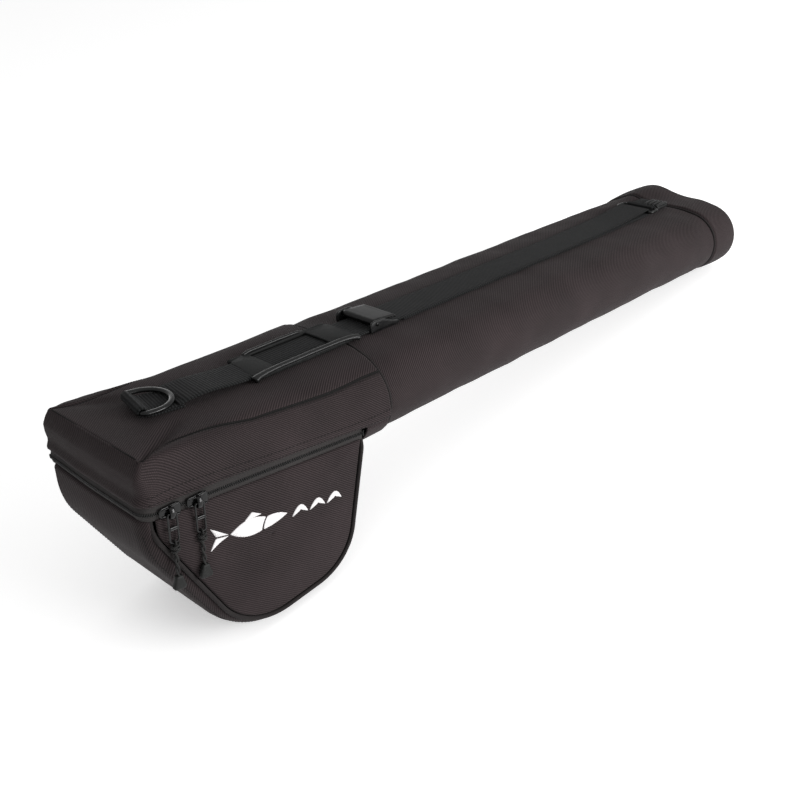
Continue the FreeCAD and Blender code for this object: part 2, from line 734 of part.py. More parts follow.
def chape(bar_radius, sleeve_radius, width, reach, base):
    """Webbing wrapped round a bar at the origin and sewn down flat: sleeve plus tongue towards +X."""
    across = Vector(0, 1, 0)
    start = Vector(0, -width / 2, 0)
    sleeve = Part.makeCylinder(sleeve_radius, width, start, across)
    tongue = box_at((0, reach), (-width / 2, width / 2), (base, base + size("webbing_thickness")))
    link = box_at((0, sleeve_radius * 0.8), (-width / 2, width / 2), (base, 0))
    hole = Part.makeCylinder(bar_radius, width, start, across)
    return sleeve.fuse([tongue, link]).cut(hole).removeSplitter().Solids[0]


def make_d_ring():
    wire = size("d_ring_wire")
    place = Placement(Vector(size("d_ring_x"), size("d_ring_y"), size("d_ring_z")),
                      Rotation(Vector(0, 0, 1), size("d_ring_yaw")))
    half = size("d_ring_width") / 2
    arm = size("d_ring_arm")
    points = [Vector(0, half, 0), Vector(0, -half, 0), Vector(arm + half, -half, 0), Vector(arm + half, half, 0)]
    corner = size("d_ring_corner")
    radii = [corner, corner, half - 0.01, half - 0.01]
    ring = feature("d_ring", round_sweep(bent_wire(points, radii, True), wire, True))
    ring.Placement = place
    base = 0.4 - size("d_ring_z")
    loop = feature("d_ring_chape", chape(wire + 0.08, wire + 0.08 + size("webbing_thickness"),
                                         size("chape_width"), 36.0, base))
    loop.Placement = place


def make_far_ring():
    wire = size("ring_wire")
    half = size("far_ring_width") / 2
    near = size("far_bar_x")
    far = near + size("far_ring_depth")
    height = size("far_bar_z")
    points = [Vector(near, half, height), Vector(near, -half, height), Vector(far, -half, height),
              Vector(far, half, height)]
    feature("far_ring", round_sweep(bent_wire(points, [3.5] * 4, True), wire, True))
    loop = feature("far_chape", chape(wire + 0.1, wire + 0.1 + size("webbing_thickness"),
                                      size("webbing_width") - 3.0, 28.5, 0.6 - height))
    loop.Placement = Placement(Vector(far, 0, height), Rotation())
    start = far + 4.2
    keeper = box_at((start, start + 22), (-20, 1), (2.6, 5.3))
    ribs = []
    for k in range(4):
        centre = -17.6 + 5.4 * k
        rib = Part.makeCylinder(1.9, 20, Vector(start + 1, centre, 5.5), Vector(1, 0, 0))
        ribs.append(rib)
    feature("far_keeper", keeper.fuse(ribs).removeSplitter().Solids[0])


def make_grip():
    body = doc.addObject("PartDesign::Body", "grip")
    sketch = new_sketch(body, "XY_Plane", "Sizes.strap_top - 2.0")
    middle = size("grip_start") + size("grip_length") / 2
    rectangle(sketch, (middle, 0.0), "Sizes.grip_length", "Sizes.grip_width")
    add_pad(body, sketch, "Sizes.grip_height")
    channel = new_sketch(body, "XY_Plane", "Sizes.strap_top - 2.1")
    rectangle(channel, (middle, 0.0), "Sizes.grip_length + 2", "Sizes.grip_channel_width")
    add_pocket(body, channel, "2.5 mm", flip=True)
    window = new_sketch(body, "XY_Plane", "Sizes.strap_top - 2.0")
    rectangle(window, (middle - 6.0, 0.0), "Sizes.grip_window_length", "Sizes.grip_window_width")
    add_pocket(body, window, "Sizes.grip_height + 1", flip=True)
    seats = new_sketch(body, "XY_Plane", "Sizes.strap_top + 1.0")
    for side in (1, -1):
        rectangle(seats, (middle, side * (size("grip_rail_seat") + 3.0)), "Sizes.grip_length + 2", "6")
    add_pocket(body, seats, "3 mm", flip=True)
    add_node(body)
    top = size("strap_top") + 1.0
    rails = []
    for side in (1, -1):
        y = side * (size("grip_rail_seat") + 1.7)
        rail = Part.makeCylinder(1.6, size("grip_length") - 6, Vector(size("grip_start") + 3, y, top + 1.65),
                                 Vector(1, 0, 0))
        rails.append(rail.makeFillet(1.2, [edge for edge in rail.Edges if edge.Closed]))
    feature("grip_rails", Part.makeCompound(rails))


def make_buckle():
    """Cam buckle: a base with two ears, a pin across them, and the lever that clamps the webbing."""
    x = size("buckle_x")
    pivot_z = size("buckle_pivot_z")
    half = size("buckle_width") / 2
    thick = size("ear_thickness")
    pin = size("pivot_radius")
    base = box_at((x - 7, x + 23), (-half, half), (0.1, 1.7))
    outline = [Vector(x - 8, 0, 0.1), Vector(x + 27, 0, 0.1), Vector(x + 27, 0, 2.8), Vector(x + 7, 0, 10.6),
               Vector(x - 8, 0, 10.6)]
    face = Part.Face(bent_wire(outline, [1.5, 1.0, 1.0, 5.0, 4.4], True))
    ears = []
    for side in (1, -1):
        ear = face.extrude(Vector(0, thick, 0))
        ear.translate(Vector(0, half - thick if side > 0 else -half, 0))
        ears.append(ear)
    across = Vector(0, 1, 0)
    hole = Part.makeCylinder(pin + 0.01, 2 * half + 4, Vector(x, -half - 2, pivot_z), across)
    feature("buckle_frame", base.fuse(ears).cut(hole).removeSplitter().Solids[0])

    rod = Part.makeCylinder(pin, 2 * half - 0.4, Vector(x, 0.2 - half, pivot_z), across)
    feature("buckle_pin", rod)

    body = doc.addObject("PartDesign::Body", "buckle_lever")
    sketch = new_sketch(body, "XZ_Plane")
    barrel = size("lever_barrel")
    tip_x = x + size("lever_length")
    tip_z = pivot_z - 1.6
    plate = 1.8
    start = math.radians(52)
    end = math.radians(10)
    first = Vector(x + barrel * math.cos(start), pivot_z + barrel * math.sin(start), 0)
    last = Vector(x + barrel * math.cos(end), pivot_z - barrel * math.sin(end), 0)
    ring = Part.Circle(Vector(x, pivot_z, 0), Vector(0, 0, 1), barrel)
    sketch.addGeometry(Part.ArcOfCircle(ring, start, 2 * math.pi - end), False)
    sketch.addGeometry(Part.LineSegment(last, Vector(tip_x, tip_z, 0)), False)
    sketch.addGeometry(Part.LineSegment(Vector(tip_x, tip_z, 0), Vector(tip_x, tip_z + plate, 0)), False)
    sketch.addGeometry(Part.LineSegment(Vector(tip_x, tip_z + plate, 0), first), False)
    sketch.addGeometry(Part.Circle(Vector(x, pivot_z, 0), Vector(0, 0, 1), pin + 0.05), False)
    add_pad(body, sketch, "Sizes.lever_width", midplane=True)
    add_node(body)


# ---------------------------------------------------------------- build, place and check

def rest_placement(cords):
    """Tips the case onto its pouch and far end, with the origin under the middle of its box."""
    tip = Placement(Vector(0, 0, 0), Rotation(Vector(0, 1, 0), size("rest_tilt")))
    low = Vector(1e9, 1e9, 1e9)
    high = Vector(-1e9, -1e9, -1e9)
    for node in nodes:
        if node.Label in cords:
            continue
        shape = node.Shape.copy()
        shape.Placement = tip.multiply(shape.Placement)
        limits = shape.optimalBoundingBox(False, False)
        low = Vector(min(low.x, limits.XMin), min(low.y, limits.YMin), min(low.z, limits.ZMin))
        high = Vector(max(high.x, limits.XMax), max(high.y, limits.YMax), max(high.z, limits.ZMax))
    tip.Base = Vector(-(low.x + high.x) / 2, -(low.y + high.y) / 2, -low.z)
    return tip


def check_document():
    doc.recompute()
    for item in doc.Objects:
        if "Invalid" in item.State or "Error" in item.State:
            raise RuntimeError("%s failed: %s" % (item.Label, item.State))
    for node in nodes:
        if node.Shape.isNull() or not node.Shape.isValid() or not node.Shape.Solids:
            raise RuntimeError("%s has no valid solid" % node.Label)


make_tube()
make_far_end()
make_throat()
make_head()
make_zipper()
make_pulls()
make_pouch()
make_emblem()
make_straps()
make_d_ring()
make_far_ring()
make_grip()
make_buckle()
check_document()

CORD_PIECES = ["pull_cord_front", "pull_cord_rear", "pull_end_front", "pull_end_rear"]
rest = rest_placement(CORD_PIECES)
print("rest placement", rest.Base, rest.Rotation.Axis, math.degrees(rest.Rotation.Angle))
for node in nodes:
    node.Placement = rest.multiply(node.Placement)
check_document()

os.makedirs("parts", exist_ok=True)
for node in nodes:
    node.Shape.exportStep("parts/%s.step" % node.Label)
print("%d pieces" % len(nodes))
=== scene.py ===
import json
import math

import bmesh
import bpy
import numpy as np
from mathutils import Matrix, Vector


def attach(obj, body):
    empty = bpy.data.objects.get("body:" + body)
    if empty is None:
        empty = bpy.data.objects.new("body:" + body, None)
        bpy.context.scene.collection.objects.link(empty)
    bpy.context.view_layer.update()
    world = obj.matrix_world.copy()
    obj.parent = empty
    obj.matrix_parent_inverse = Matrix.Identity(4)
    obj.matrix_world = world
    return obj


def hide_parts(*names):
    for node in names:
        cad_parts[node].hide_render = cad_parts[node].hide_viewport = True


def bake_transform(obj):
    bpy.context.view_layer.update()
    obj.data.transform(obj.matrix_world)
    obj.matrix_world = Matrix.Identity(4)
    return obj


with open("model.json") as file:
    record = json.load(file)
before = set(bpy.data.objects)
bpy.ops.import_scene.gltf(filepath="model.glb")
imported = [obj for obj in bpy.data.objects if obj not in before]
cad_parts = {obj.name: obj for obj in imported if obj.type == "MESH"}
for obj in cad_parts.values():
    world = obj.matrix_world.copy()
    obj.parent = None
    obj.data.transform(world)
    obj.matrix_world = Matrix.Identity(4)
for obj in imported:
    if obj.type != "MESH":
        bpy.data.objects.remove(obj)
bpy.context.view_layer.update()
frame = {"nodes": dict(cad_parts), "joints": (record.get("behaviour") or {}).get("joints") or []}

MM = 0.001
UV_SPAN = 100.0                      # one unit of the cloth map, in millimetres

# ---- case frame
# Shapes below are drawn in the case's own frame, in millimetres: X from the near end to the far end,
# +Y left, Z = 0 the flat top.  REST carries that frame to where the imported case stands.

joints = {joint["name"]: joint for joint in frame["joints"]}
HINGE = (206.5, 0.0, -79.2)
case_x = Vector(joints["grip_slide"]["axis"]).normalized()
case_y = Vector((0.0, 1.0, 0.0))
case_z = case_x.cross(case_y)
TURN = Matrix((case_x, case_y, case_z)).transposed()
REST = Matrix.Translation(Vector(joints["pouch_open"]["pos_m"]) - TURN @ (Vector(HINGE) * MM)) @ TURN.to_4x4()


def on_row(point):
    """A case-frame point, in millimetres, as a row-frame point in metres."""
    return REST @ (Vector(point) * MM)


# ---- camera and light

CAMERA_AT = (-318.7, -653.3, 361.7)
CAMERA_AZIMUTH = math.radians(-44.263)
CAMERA_RISE = math.radians(26.460)
CAMERA_ROLL = math.radians(-2.5745)
CAMERA_LENS = 47.62
WORLD_LIGHT = 0.6
PAPER_TONE = 0.95
PAPER_GLOW = 0.36


def make_camera():
    back = Vector((math.sin(CAMERA_AZIMUTH) * math.cos(CAMERA_RISE),
                   -math.cos(CAMERA_AZIMUTH) * math.cos(CAMERA_RISE), math.sin(CAMERA_RISE)))
    right = (-back).cross(Vector((0, 0, 1))).normalized()
    up = back.cross(right)
    turned_right = math.cos(CAMERA_ROLL) * right + math.sin(CAMERA_ROLL) * up
    turned_up = -math.sin(CAMERA_ROLL) * right + math.cos(CAMERA_ROLL) * up
    axes = Matrix((turned_right, turned_up, back)).transposed().to_4x4()
    data = bpy.data.cameras.new("camera")
    data.lens = CAMERA_LENS
    data.sensor_width = 36.0
    data.clip_start = 0.01
    data.clip_end = 50.0
    camera = bpy.data.objects.new("camera", data)
    bpy.context.scene.collection.objects.link(camera)
    camera.matrix_world = REST @ Matrix.Translation(Vector(CAMERA_AT) * MM) @ axes
    bpy.context.scene.camera = camera


def area_light(name, place, target, width, height, power):
    data = bpy.data.lights.new(name, "AREA")
    data.shape = "RECTANGLE"
    data.size = width
    data.size_y = height
    data.energy = power
    light = bpy.data.objects.new(name, data)
    bpy.context.scene.collection.objects.link(light)
    light.location = place
    light.rotation_euler = (Vector(target) - Vector(place)).to_track_quat("-Z", "Y").to_euler()


def make_studio():
    area_light("key", (0.6, -1.75, 0.6), (0.05, 0.0, 0.05), 1.5, 0.8, 50.0)
    area_light("top", (0.3, -0.5, 2.1), (0.0, 0.0, 0.1), 2.6, 2.2, 4.0)
    area_light("rim", (0.4, 1.7, 0.5), (0.1, 0.0, 0.15), 1.2, 0.5, 3.0)
    world = bpy.data.worlds.new("studio")
    world.use_nodes = True
    background = world.node_tree.nodes["Background"]
    background.inputs["Color"].default_value = (1.0, 1.0, 1.0, 1.0)
    background.inputs["Strength"].default_value = WORLD_LIGHT
    bpy.context.scene.world = world
    bpy.context.scene.view_settings.view_transform = "Standard"


make_camera()
make_studio()

# ---- shader helpers


class Shader:
    """A node material: a Principled shader plus short calls for the maths that feeds it."""

    def __init__(self, name, roughness=0.7, **constants):
        self.material = bpy.data.materials.new(name)
        self.material.use_nodes = True
        self.tree = self.material.node_tree
        self.surface = self.tree.nodes["Principled BSDF"]
        self.surface.inputs["Roughness"].default_value = roughness
        for socket, value in constants.items():
            self.surface.inputs[socket.replace("_", " ")].default_value = value

    def node(self, kind, **settings):
        made = self.tree.nodes.new(kind)
        for key, value in settings.items():
            setattr(made, key, value)
        return made

    def join(self, value, socket):
        if isinstance(value, (int, float)):
            socket.default_value = value
        elif isinstance(value, tuple):
            socket.default_value = value if len(value) == len(socket.default_value) else (*value, 1.0)
        else:
            self.tree.links.new(value, socket)

    def maths(self, operation, first, second=0.0, clamp=False):
        made = self.node("ShaderNodeMath", operation=operation, use_clamp=clamp)
        self.join(first, made.inputs[0])
        self.join(second, made.inputs[1])
        return made.outputs[0]

    def add(self, first, second, clamp=False):
        return self.maths("ADD", first, second, clamp)

    def times(self, first, second, clamp=False):
        return self.maths("MULTIPLY", first, second, clamp)

    def mix(self, share, first, second):
        made = self.node("ShaderNodeMix", data_type="RGBA")
        self.join(share, made.inputs["Factor"])
        self.join(first, made.inputs[6])
        self.join(second, made.inputs[7])
        return made.outputs[2]

    def case_point(self):
        return self.node("ShaderNodeTexCoord").outputs["Object"]

    def cloth_uv(self):
        split = self.node("ShaderNodeSeparateXYZ")
        self.join(self.node("ShaderNodeUVMap", uv_map="cloth").outputs["UV"], split.inputs[0])
        return split.outputs[0], split.outputs[1]

    def noise(self, point, size_mm, detail=3.0, roughness=0.55):
        made = self.node("ShaderNodeTexNoise")
        self.join(point, made.inputs["Vector"])
        made.inputs["Scale"].default_value = 1000.0 / size_mm
        made.inputs["Detail"].default_value = detail
        made.inputs["Roughness"].default_value = roughness
        return made.outputs["Fac"]

    def wave(self, first, second, angle, pitch_mm):
        """A sine in 0..1 across lines at this angle and pitch on the cloth map."""
        along = self.add(self.times(first, math.cos(angle)), self.times(second, math.sin(angle)))
        turn = self.times(along, 2 * math.pi * UV_SPAN / pitch_mm)
        return self.times(self.add(self.maths("SINE", turn), 1.0), 0.5)

    def bump(self, height, depth_mm, strength=1.0):
        made = self.node("ShaderNodeBump")
        made.inputs["Strength"].default_value = strength
        made.inputs["Distance"].default_value = depth_mm * MM
        self.join(height, made.inputs["Height"])
        self.tree.links.new(made.outputs["Normal"], self.surface.inputs["Normal"])

    def colour(self, value):
        self.join(value, self.surface.inputs["Base Color"])

    def rough(self, value):
        self.join(value, self.surface.inputs["Roughness"])


def cloth_shader(name, dark, light, pitch, angle, cross_pitch, cross_share, depth, patch_mm=60.0, sheen=0.03):
    """Woven cloth: ribs one way, finer threads across them, worn and dusty patches; the weave also paints
    highlight on the rib crowns and shade in the valleys.
    """
    s = Shader(name, roughness=0.8, Sheen_Weight=sheen, Sheen_Roughness=0.5, Specular_IOR_Level=0.07)
    u, v = s.cloth_uv()
    ribs = s.wave(u, v, angle, pitch)
    threads = s.wave(u, v, angle + math.pi / 2, cross_pitch)
    weave_relief_and_rib_sheen = s.add(s.times(ribs, 1.0 - cross_share), s.times(s.times(ribs, threads), cross_share))
    point = s.case_point()
    patches = s.noise(point, patch_mm, 4.0)
    fibre = s.noise(point, 1.1, 2.0)
    # The weave also sets the colour: lighter crowns and darker valleys are a painted highlight and shade of
    # the threads. The fibre noise and the patches are the cloth's own tone and wear.
    tone = s.add(s.times(weave_relief_and_rib_sheen, 0.74), s.times(fibre, 0.12))
    tone = s.add(tone, s.times(s.maths("SUBTRACT", patches, 0.5), 0.5), clamp=True)
    s.colour(s.mix(tone, dark, light))
    s.rough(s.add(0.62, s.times(patches, 0.3)))
    s.bump(s.add(weave_relief_and_rib_sheen, s.times(fibre, 0.12)), depth)
    return s.material


def moulded_shader(name, dark, light, roughness, grain_mm=0.6, depth=0.03, coat=0.0, metallic=0.0):
    """Moulded plastic, rubber or enamel: fine grain, scuffs that dull it and lighten its colour."""
    s = Shader(name, roughness=roughness, Metallic=metallic, Coat_Weight=coat, Coat_Roughness=0.12,
               Specular_IOR_Level=0.18)
    point = s.case_point()
    scuffs = s.noise(point, 7.0, 6.0, 0.7)
    grain = s.noise(point, grain_mm, 2.0)
    worn = s.times(s.maths("SUBTRACT", scuffs, 0.5, clamp=True), 2.2, clamp=True)
    s.colour(s.mix(worn, dark, light))
    s.rough(s.add(roughness * 0.85, s.times(scuffs, roughness * 0.45)))
    s.bump(s.add(grain, s.times(scuffs, 0.6)), depth)
    return s.material


def satin_thread_shader():
    """Silver embroidery: close parallel threads across each stroke, with painted highlight and shade in their
    stripes and broad patches.
    """
    s = Shader("satin_thread", roughness=0.38, Sheen_Weight=0.3, Specular_IOR_Level=0.7)
    u, v = s.cloth_uv()
    threads = s.wave(u, v, math.radians(62), 0.75)
    tone = s.noise(s.case_point(), 14.0, 3.0)
    # Thread stripes and broad noise move the silver between dark grey and near white: painted highlight and
    # shade on the satin stitches.
    shade = s.add(s.times(threads, 0.45), s.times(tone, 0.6), clamp=True)
    s.colour(s.mix(shade, (0.30, 0.28, 0.285), (0.86, 0.84, 0.84)))
    s.bump(threads, 0.16)
    return s.material


NYLON_DARK = (0.0075, 0.0056, 0.0057)
NYLON_LIGHT = (0.046, 0.0345, 0.0360)
NYLON = cloth_shader("case_cloth", NYLON_DARK, NYLON_LIGHT, 1.75, math.radians(52), 1.2, 0.55, 0.2)
NYLON_NEAR = cloth_shader("near_cloth", NYLON_DARK, NYLON_LIGHT, 1.75, math.radians(128), 1.2, 0.55, 0.2)
LINING = cloth_shader("lining_cloth", (0.03, 0.03, 0.032), (0.09, 0.09, 0.094), 1.1, math.radians(45), 0.9,
                      0.5, 0.1)
WEBBING = cloth_shader("webbing_cloth", (0.0034, 0.0036, 0.0037), (0.023, 0.0235, 0.024), 2.6, 0.0, 1.5, 0.5,
                       0.35, 25.0, 0.02)
PIPING = cloth_shader("piping_cloth", (0.008, 0.007, 0.007), (0.03, 0.026, 0.026), 0.9, 0.4, 0.9, 0.5, 0.1)
TAPE = cloth_shader("zip_tape_cloth", (0.013, 0.012, 0.012), (0.05, 0.046, 0.045), 0.8, 0.0, 0.9, 0.5, 0.1)
STITCH = cloth_shader("stitch_thread", (0.004, 0.004, 0.004), (0.014, 0.013, 0.013), 0.5, 0.8, 0.5, 0.2, 0.02,
                      60.0, 0.0)
THREAD = satin_thread_shader()
COIL = moulded_shader("zip_coil_nylon", (0.010, 0.010, 0.010), (0.03, 0.03, 0.03), 0.42)
ENAMEL = moulded_shader("black_enamel", (0.002, 0.002, 0.0022), (0.009, 0.009, 0.009), 0.24, 1.2, 0.015, 0.25)
RING_METAL = moulded_shader("ring_enamel", (0.0025, 0.0027, 0.0027), (0.010, 0.011, 0.011), 0.27, 1.6, 0.015,
                            0.2)
BUCKLE_METAL = moulded_shader("buckle_enamel", (0.003, 0.003, 0.0032), (0.012, 0.012, 0.012), 0.38, 0.9, 0.02,
                              0.08)
GLOSS_PLASTIC = moulded_shader("gloss_plastic", (0.006, 0.0062, 0.0062), (0.02, 0.02, 0.02), 0.40, 1.5, 0.01,
                               0.1)
MATTE_RUBBER = moulded_shader("grip_rubber", (0.0065, 0.0068, 0.0068), (0.020, 0.021, 0.021), 0.62, 0.5, 0.04)
END_RUBBER = moulded_shader("end_rubber", (0.006, 0.0063, 0.006), (0.022, 0.023, 0.022), 0.5, 0.6, 0.03)
CORD_SHEATH = cloth_shader("cord_sheath", (0.004, 0.004, 0.004), (0.045, 0.045, 0.044), 1.0, 0.7, 0.8, 0.4,
                           0.12)
TUBE_PLASTIC = moulded_shader("tube_plastic", (0.02, 0.02, 0.021), (0.05, 0.05, 0.052), 0.45, 0.8, 0.04)
FOAM = moulded_shader("closed_foam", (0.05, 0.05, 0.05), (0.14, 0.14, 0.14), 0.85, 1.4, 0.4)

# ---- mesh helpers


def eased(value):
    value = np.clip(value, 0.0, 1.0)
    return value * value * (3 - 2 * value)


def unit(vectors):
    return vectors / np.maximum(np.linalg.norm(vectors, axis=-1, keepdims=True), 1e-9)


def ripple(points, wavelength, seed, waves=7):
    """A smooth random field in about -1..1 over case-frame points, the same on every run."""
    random = np.random.RandomState(seed)
    total = np.zeros(points.shape[:-1])
    for _ in range(waves):
        direction = random.normal(size=3)
        direction /= np.linalg.norm(direction)
        turn = 2 * np.pi / (wavelength * random.uniform(0.7, 1.6))
        total += np.sin(points @ direction * turn + random.uniform(0, 6.28))
    return total / waves * 1.6


NEAR_LEAN = np.array([0.0, 6.5, 0.6])
FOOT_LEAN = np.array([0.0, -1.0, 2.6])


def slump(points):
    """The soft near end leans a little up and to the left, most of all at its left corner."""
    share = eased(points[..., 1:2] / 62.0) * (1.0 - eased((points[..., :1] + 6.0) / 110.0))
    below = eased(-points[..., 2:3] / 44.0) * (1.0 - eased((-52.0 - points[..., 2:3]) / 40.0))
    return points + share * (NEAR_LEAN + below * FOOT_LEAN)


def add_object(name, points, faces, loops, material, body, slot, closed=False):
    """Makes a mesh from case-frame points; loops holds each face corner's place on the cloth map, in mm."""
    mesh = bpy.data.meshes.new(name)
    rest = np.array(REST)
    row_points = slump(np.asarray(points)) * MM @ rest[:3, :3].T + rest[:3, 3]
    mesh.from_pydata(row_points.tolist(), [], [list(map(int, face)) for face in faces])
    layer = mesh.uv_layers.new(name="cloth")
    layer.data.foreach_set("uv", (np.asarray(loops) / UV_SPAN).astype(np.float32).ravel())
    mesh.polygons.foreach_set("use_smooth", [True] * len(mesh.polygons))
    mesh.materials.append(material)
    mesh.validate()
    if closed:
        shell = bmesh.new()
        shell.from_mesh(mesh)
        bmesh.ops.recalc_face_normals(shell, faces=shell.faces)
        shell.to_mesh(mesh)
        shell.free()
    made = bpy.data.objects.new(name, mesh)
    bpy.context.scene.collection.objects.link(made)
    if body:
        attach(made, body)
    return made


def grid_faces(rows, cols, wrap_rows=False, wrap_cols=False):
    """Quads over a grid of points, and the row and column numbers of each face corner."""
    i, j = np.meshgrid(np.arange(rows if wrap_rows else rows - 1), np.arange(cols if wrap_cols else cols - 1),
                       indexing="ij")
    i, j = i.ravel(), j.ravel()
    corner_rows = np.stack([i, i + 1, i + 1, i], 1)
    corner_cols = np.stack([j, j, j + 1, j + 1], 1)
    return (corner_rows % rows) * cols + corner_cols % cols, corner_rows, corner_cols


def lengths_along(points, axis, wrap):
    """Mean running length of a grid along one axis, with one more value where the grid closes."""
    if wrap:
        points = np.concatenate([points, np.take(points, [0], axis)], axis)
    steps = np.linalg.norm(np.diff(points, axis=axis), axis=-1).mean(axis=1 - axis)
    return np.concatenate([[0.0], np.cumsum(steps)])


def grid_part(points, wrap_rows=False, wrap_cols=False, caps=False, flip=False, uv=None):
    """A surface over a grid as points, faces and cloth-map places; uv replaces the map of real lengths."""
    rows, cols = points.shape[:2]
    faces, corner_rows, corner_cols = grid_faces(rows, cols, wrap_rows, wrap_cols)
    if uv is None:
        u = lengths_along(points, 0, wrap_rows)[corner_rows]
        v = lengths_along(points, 1, wrap_cols)[corner_cols]
        loops = np.stack([u, v], -1)
    else:
        loops = uv.reshape(-1, 2)[faces]
    turn = -1 if flip else 1
    faces = faces[:, ::turn].tolist()
    loops = loops[:, ::turn].reshape(-1, 2).tolist()
    if caps:
        first = list(range(cols))
        last = list(range((rows - 1) * cols, rows * cols))
        faces += [first[::-turn], last[::turn]]
        loops += [[0.0, 0.0]] * (2 * cols)
    return points.reshape(-1, 3), faces, loops


def add_grid(name, points, material, body, slot, wrap_rows=False, wrap_cols=False, caps=False, flip=False,
             uv=None):
    part = grid_part(points, wrap_rows, wrap_cols, caps, flip, uv)
    return add_object(name, *part, material, body, slot, caps or (wrap_rows and wrap_cols))


def add_parts(name, parts, material, body, slot):
    """Several surfaces as one piece."""
    points = []
    faces = []
    loops = []
    start = 0
    for part_points, part_faces, part_loops in parts:
        points.append(part_points)
        faces += [[start + corner for corner in face] for face in part_faces]
        loops += part_loops
        start += len(part_points)
    return add_object(name, np.concatenate(points), faces, loops, material, body, slot, True)


def join_grids(name, grids, material, body, slot, flip=False):
    """Several closed-section sweeps as one piece: each is (points, closed along the path)."""
    parts = [grid_part(grid, closed, True, not closed, flip) for grid, closed in grids]
    return add_parts(name, parts, material, body, slot)


def surface_normals(points, wrap_cols=False):
    along = np.gradient(points, axis=0)
    if wrap_cols:
        across = np.roll(points, -1, 1) - np.roll(points, 1, 1)
    else:
        across = np.gradient(points, axis=1)
    return unit(np.cross(along, across))


def rod(path, radius, count, sides=12, squash=1.0, closed=False, side=None, swell=None, place=None):
    """A round bar along a path of count points, as join_grids takes it."""
    path = resample(path, count=count, closed=closed)
    grid = sweep(path, circle(radius, sides, squash), closed, side, swell)
    return (place(grid) if place else grid), closed


ROW_ENDS = ("first_row", "last_row")
COL_ENDS = ("first_col", "last_col")


def edge_spaced(length, step):
    """Places 0..1 along a length, close together near both ends where a sewn edge rolls in."""
    near = np.array([0.0, 0.5, 1.1, 1.8, 2.7, 4.0])
    count = max(2, int(round((length - 10.0) / step)))
    middle = np.linspace(5.5, length - 5.5, count + 1)
    return np.concatenate([near, middle, length - near[::-1]]) / length


def rolled(points, outward, edges, depth=1.5, width=2.4):
    """Sinks the named edges of a cloth patch, as sewing does: edges holds first_row, last_row and so on."""
    down = np.zeros(points.shape[:2])
    for axis, first, last in ((0, "first_row", "last_row"), (1, "first_col", "last_col")):
        steps = np.linalg.norm(np.diff(points, axis=axis), axis=-1)
        start = np.zeros(points.shape[:2])
        if axis == 0:
            start[1:] = np.cumsum(steps, 0)
            total = start[-1:]
        else:
            start[:, 1:] = np.cumsum(steps, 1)
            total = start[:, -1:]
        for name, reach in ((first, start), (last, total - start)):
            if name in edges:
                down = np.maximum(down, np.clip(1 - reach / width, 0, 1) ** 2)
    return points - outward * (down * depth)[..., None]


def cloth_piece(name, node, points, centre, edges, wrinkle, seed, thickness=1.4, material=NYLON, body="case",
                slot="ballistic_nylon", wrap_cols=False, uv=None):
    """A sewn cloth patch: soft ripples, rolled edges and a thickness. Returns it and its final points."""
    outward = surface_normals(points, wrap_cols)
    towards = np.sum(outward * (points - np.array(centre)), -1).mean()
    flip = towards < 0
    if flip:
        outward = -outward
    soft = ripple(points, 70.0, seed) + 0.45 * ripple(points, 26.0, seed + 50)
    shaped = points + outward * (soft * wrinkle)[..., None]
    shaped = rolled(shaped, outward, edges)
    made = add_grid(name, shaped, material, body, slot, wrap_cols=wrap_cols, flip=flip, uv=uv)
    solid = made.modifiers.new("thickness", "SOLIDIFY")
    solid.thickness = thickness * MM
    solid.offset = -1.0
    solid.use_even_offset = False
    if node:
        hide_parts(node)
    return made, shaped, outward


def frames_along(path, closed=False, side=None):
    """Tangent, side and normal at each point of a path; side may be fixed for ribbons."""
    if closed:
        tangent = unit(np.roll(path, -1, 0) - np.roll(path, 1, 0))
    else:
        tangent = unit(np.gradient(path, axis=0))
    if side is not None:
        sides = np.broadcast_to(np.array(side, float), path.shape)
        sides = unit(sides - tangent * np.sum(sides * tangent, -1, keepdims=True))
        return tangent, sides, np.cross(sides, tangent)
    sides = np.zeros_like(path)
    start = np.array([0.0, 0.0, 1.0]) if abs(tangent[0, 2]) < 0.8 else np.array([0.0, 1.0, 0.0])
    last = np.cross(start, tangent[0])
    for k, direction in enumerate(tangent):
        last = last - direction * (last @ direction)
        last = last / np.linalg.norm(last)
        sides[k] = last
    return tangent, sides, np.cross(sides, tangent)


def sweep(path, section, closed=False, side=None, swell=None):
    """A grid of points: the section (side, normal pairs) carried along the path."""
    path = np.asarray(path, float)
    _, sides, normals = frames_along(path, closed, side)
    section = np.asarray(section, float)
    scale = np.ones(len(path)) if swell is None else np.asarray(swell)
    return (path[:, None, :] + scale[:, None, None] * (section[None, :, :1] * sides[:, None, :]
                                                       + section[None, :, 1:] * normals[:, None, :]))


def upright(line, y=0.0):
    """An (x, z) line as points at this y."""
    return np.stack([line[:, 0], np.full(len(line), y), line[:, 1]], -1)


def at_height(line, height):
    """An (x, y) line as points at this height."""
    return np.concatenate([line, np.full((len(line), 1), height)], 1)


def carried(stations, ring):
    """A grid of points: the (y, z) ring carried to each x."""
    points = np.zeros((len(stations), len(ring), 3))
    points[..., 0] = np.asarray(stations)[:, None]
    points[..., 1:] = ring[None]
    return points


def circle(radius, count=12, squash=1.0):
    turn = np.linspace(0, 2 * np.pi, count, endpoint=False)
    return np.stack([radius * np.cos(turn), radius * squash * np.sin(turn)], -1)


def ribbon(width, thickness, count=14):
    """Section of a flat woven strap with soft selvedges."""
    half = width / 2
    edge = thickness / 2
    across = np.linspace(-1, 1, count)
    top = [(half * t - np.sign(t) * edge * 0.25 * (abs(t) > 0.95), edge * (1 - 0.25 * abs(t) ** 6))
           for t in across]
    low = [(a, -b) for a, b in reversed(top)]
    return np.array(top + low)


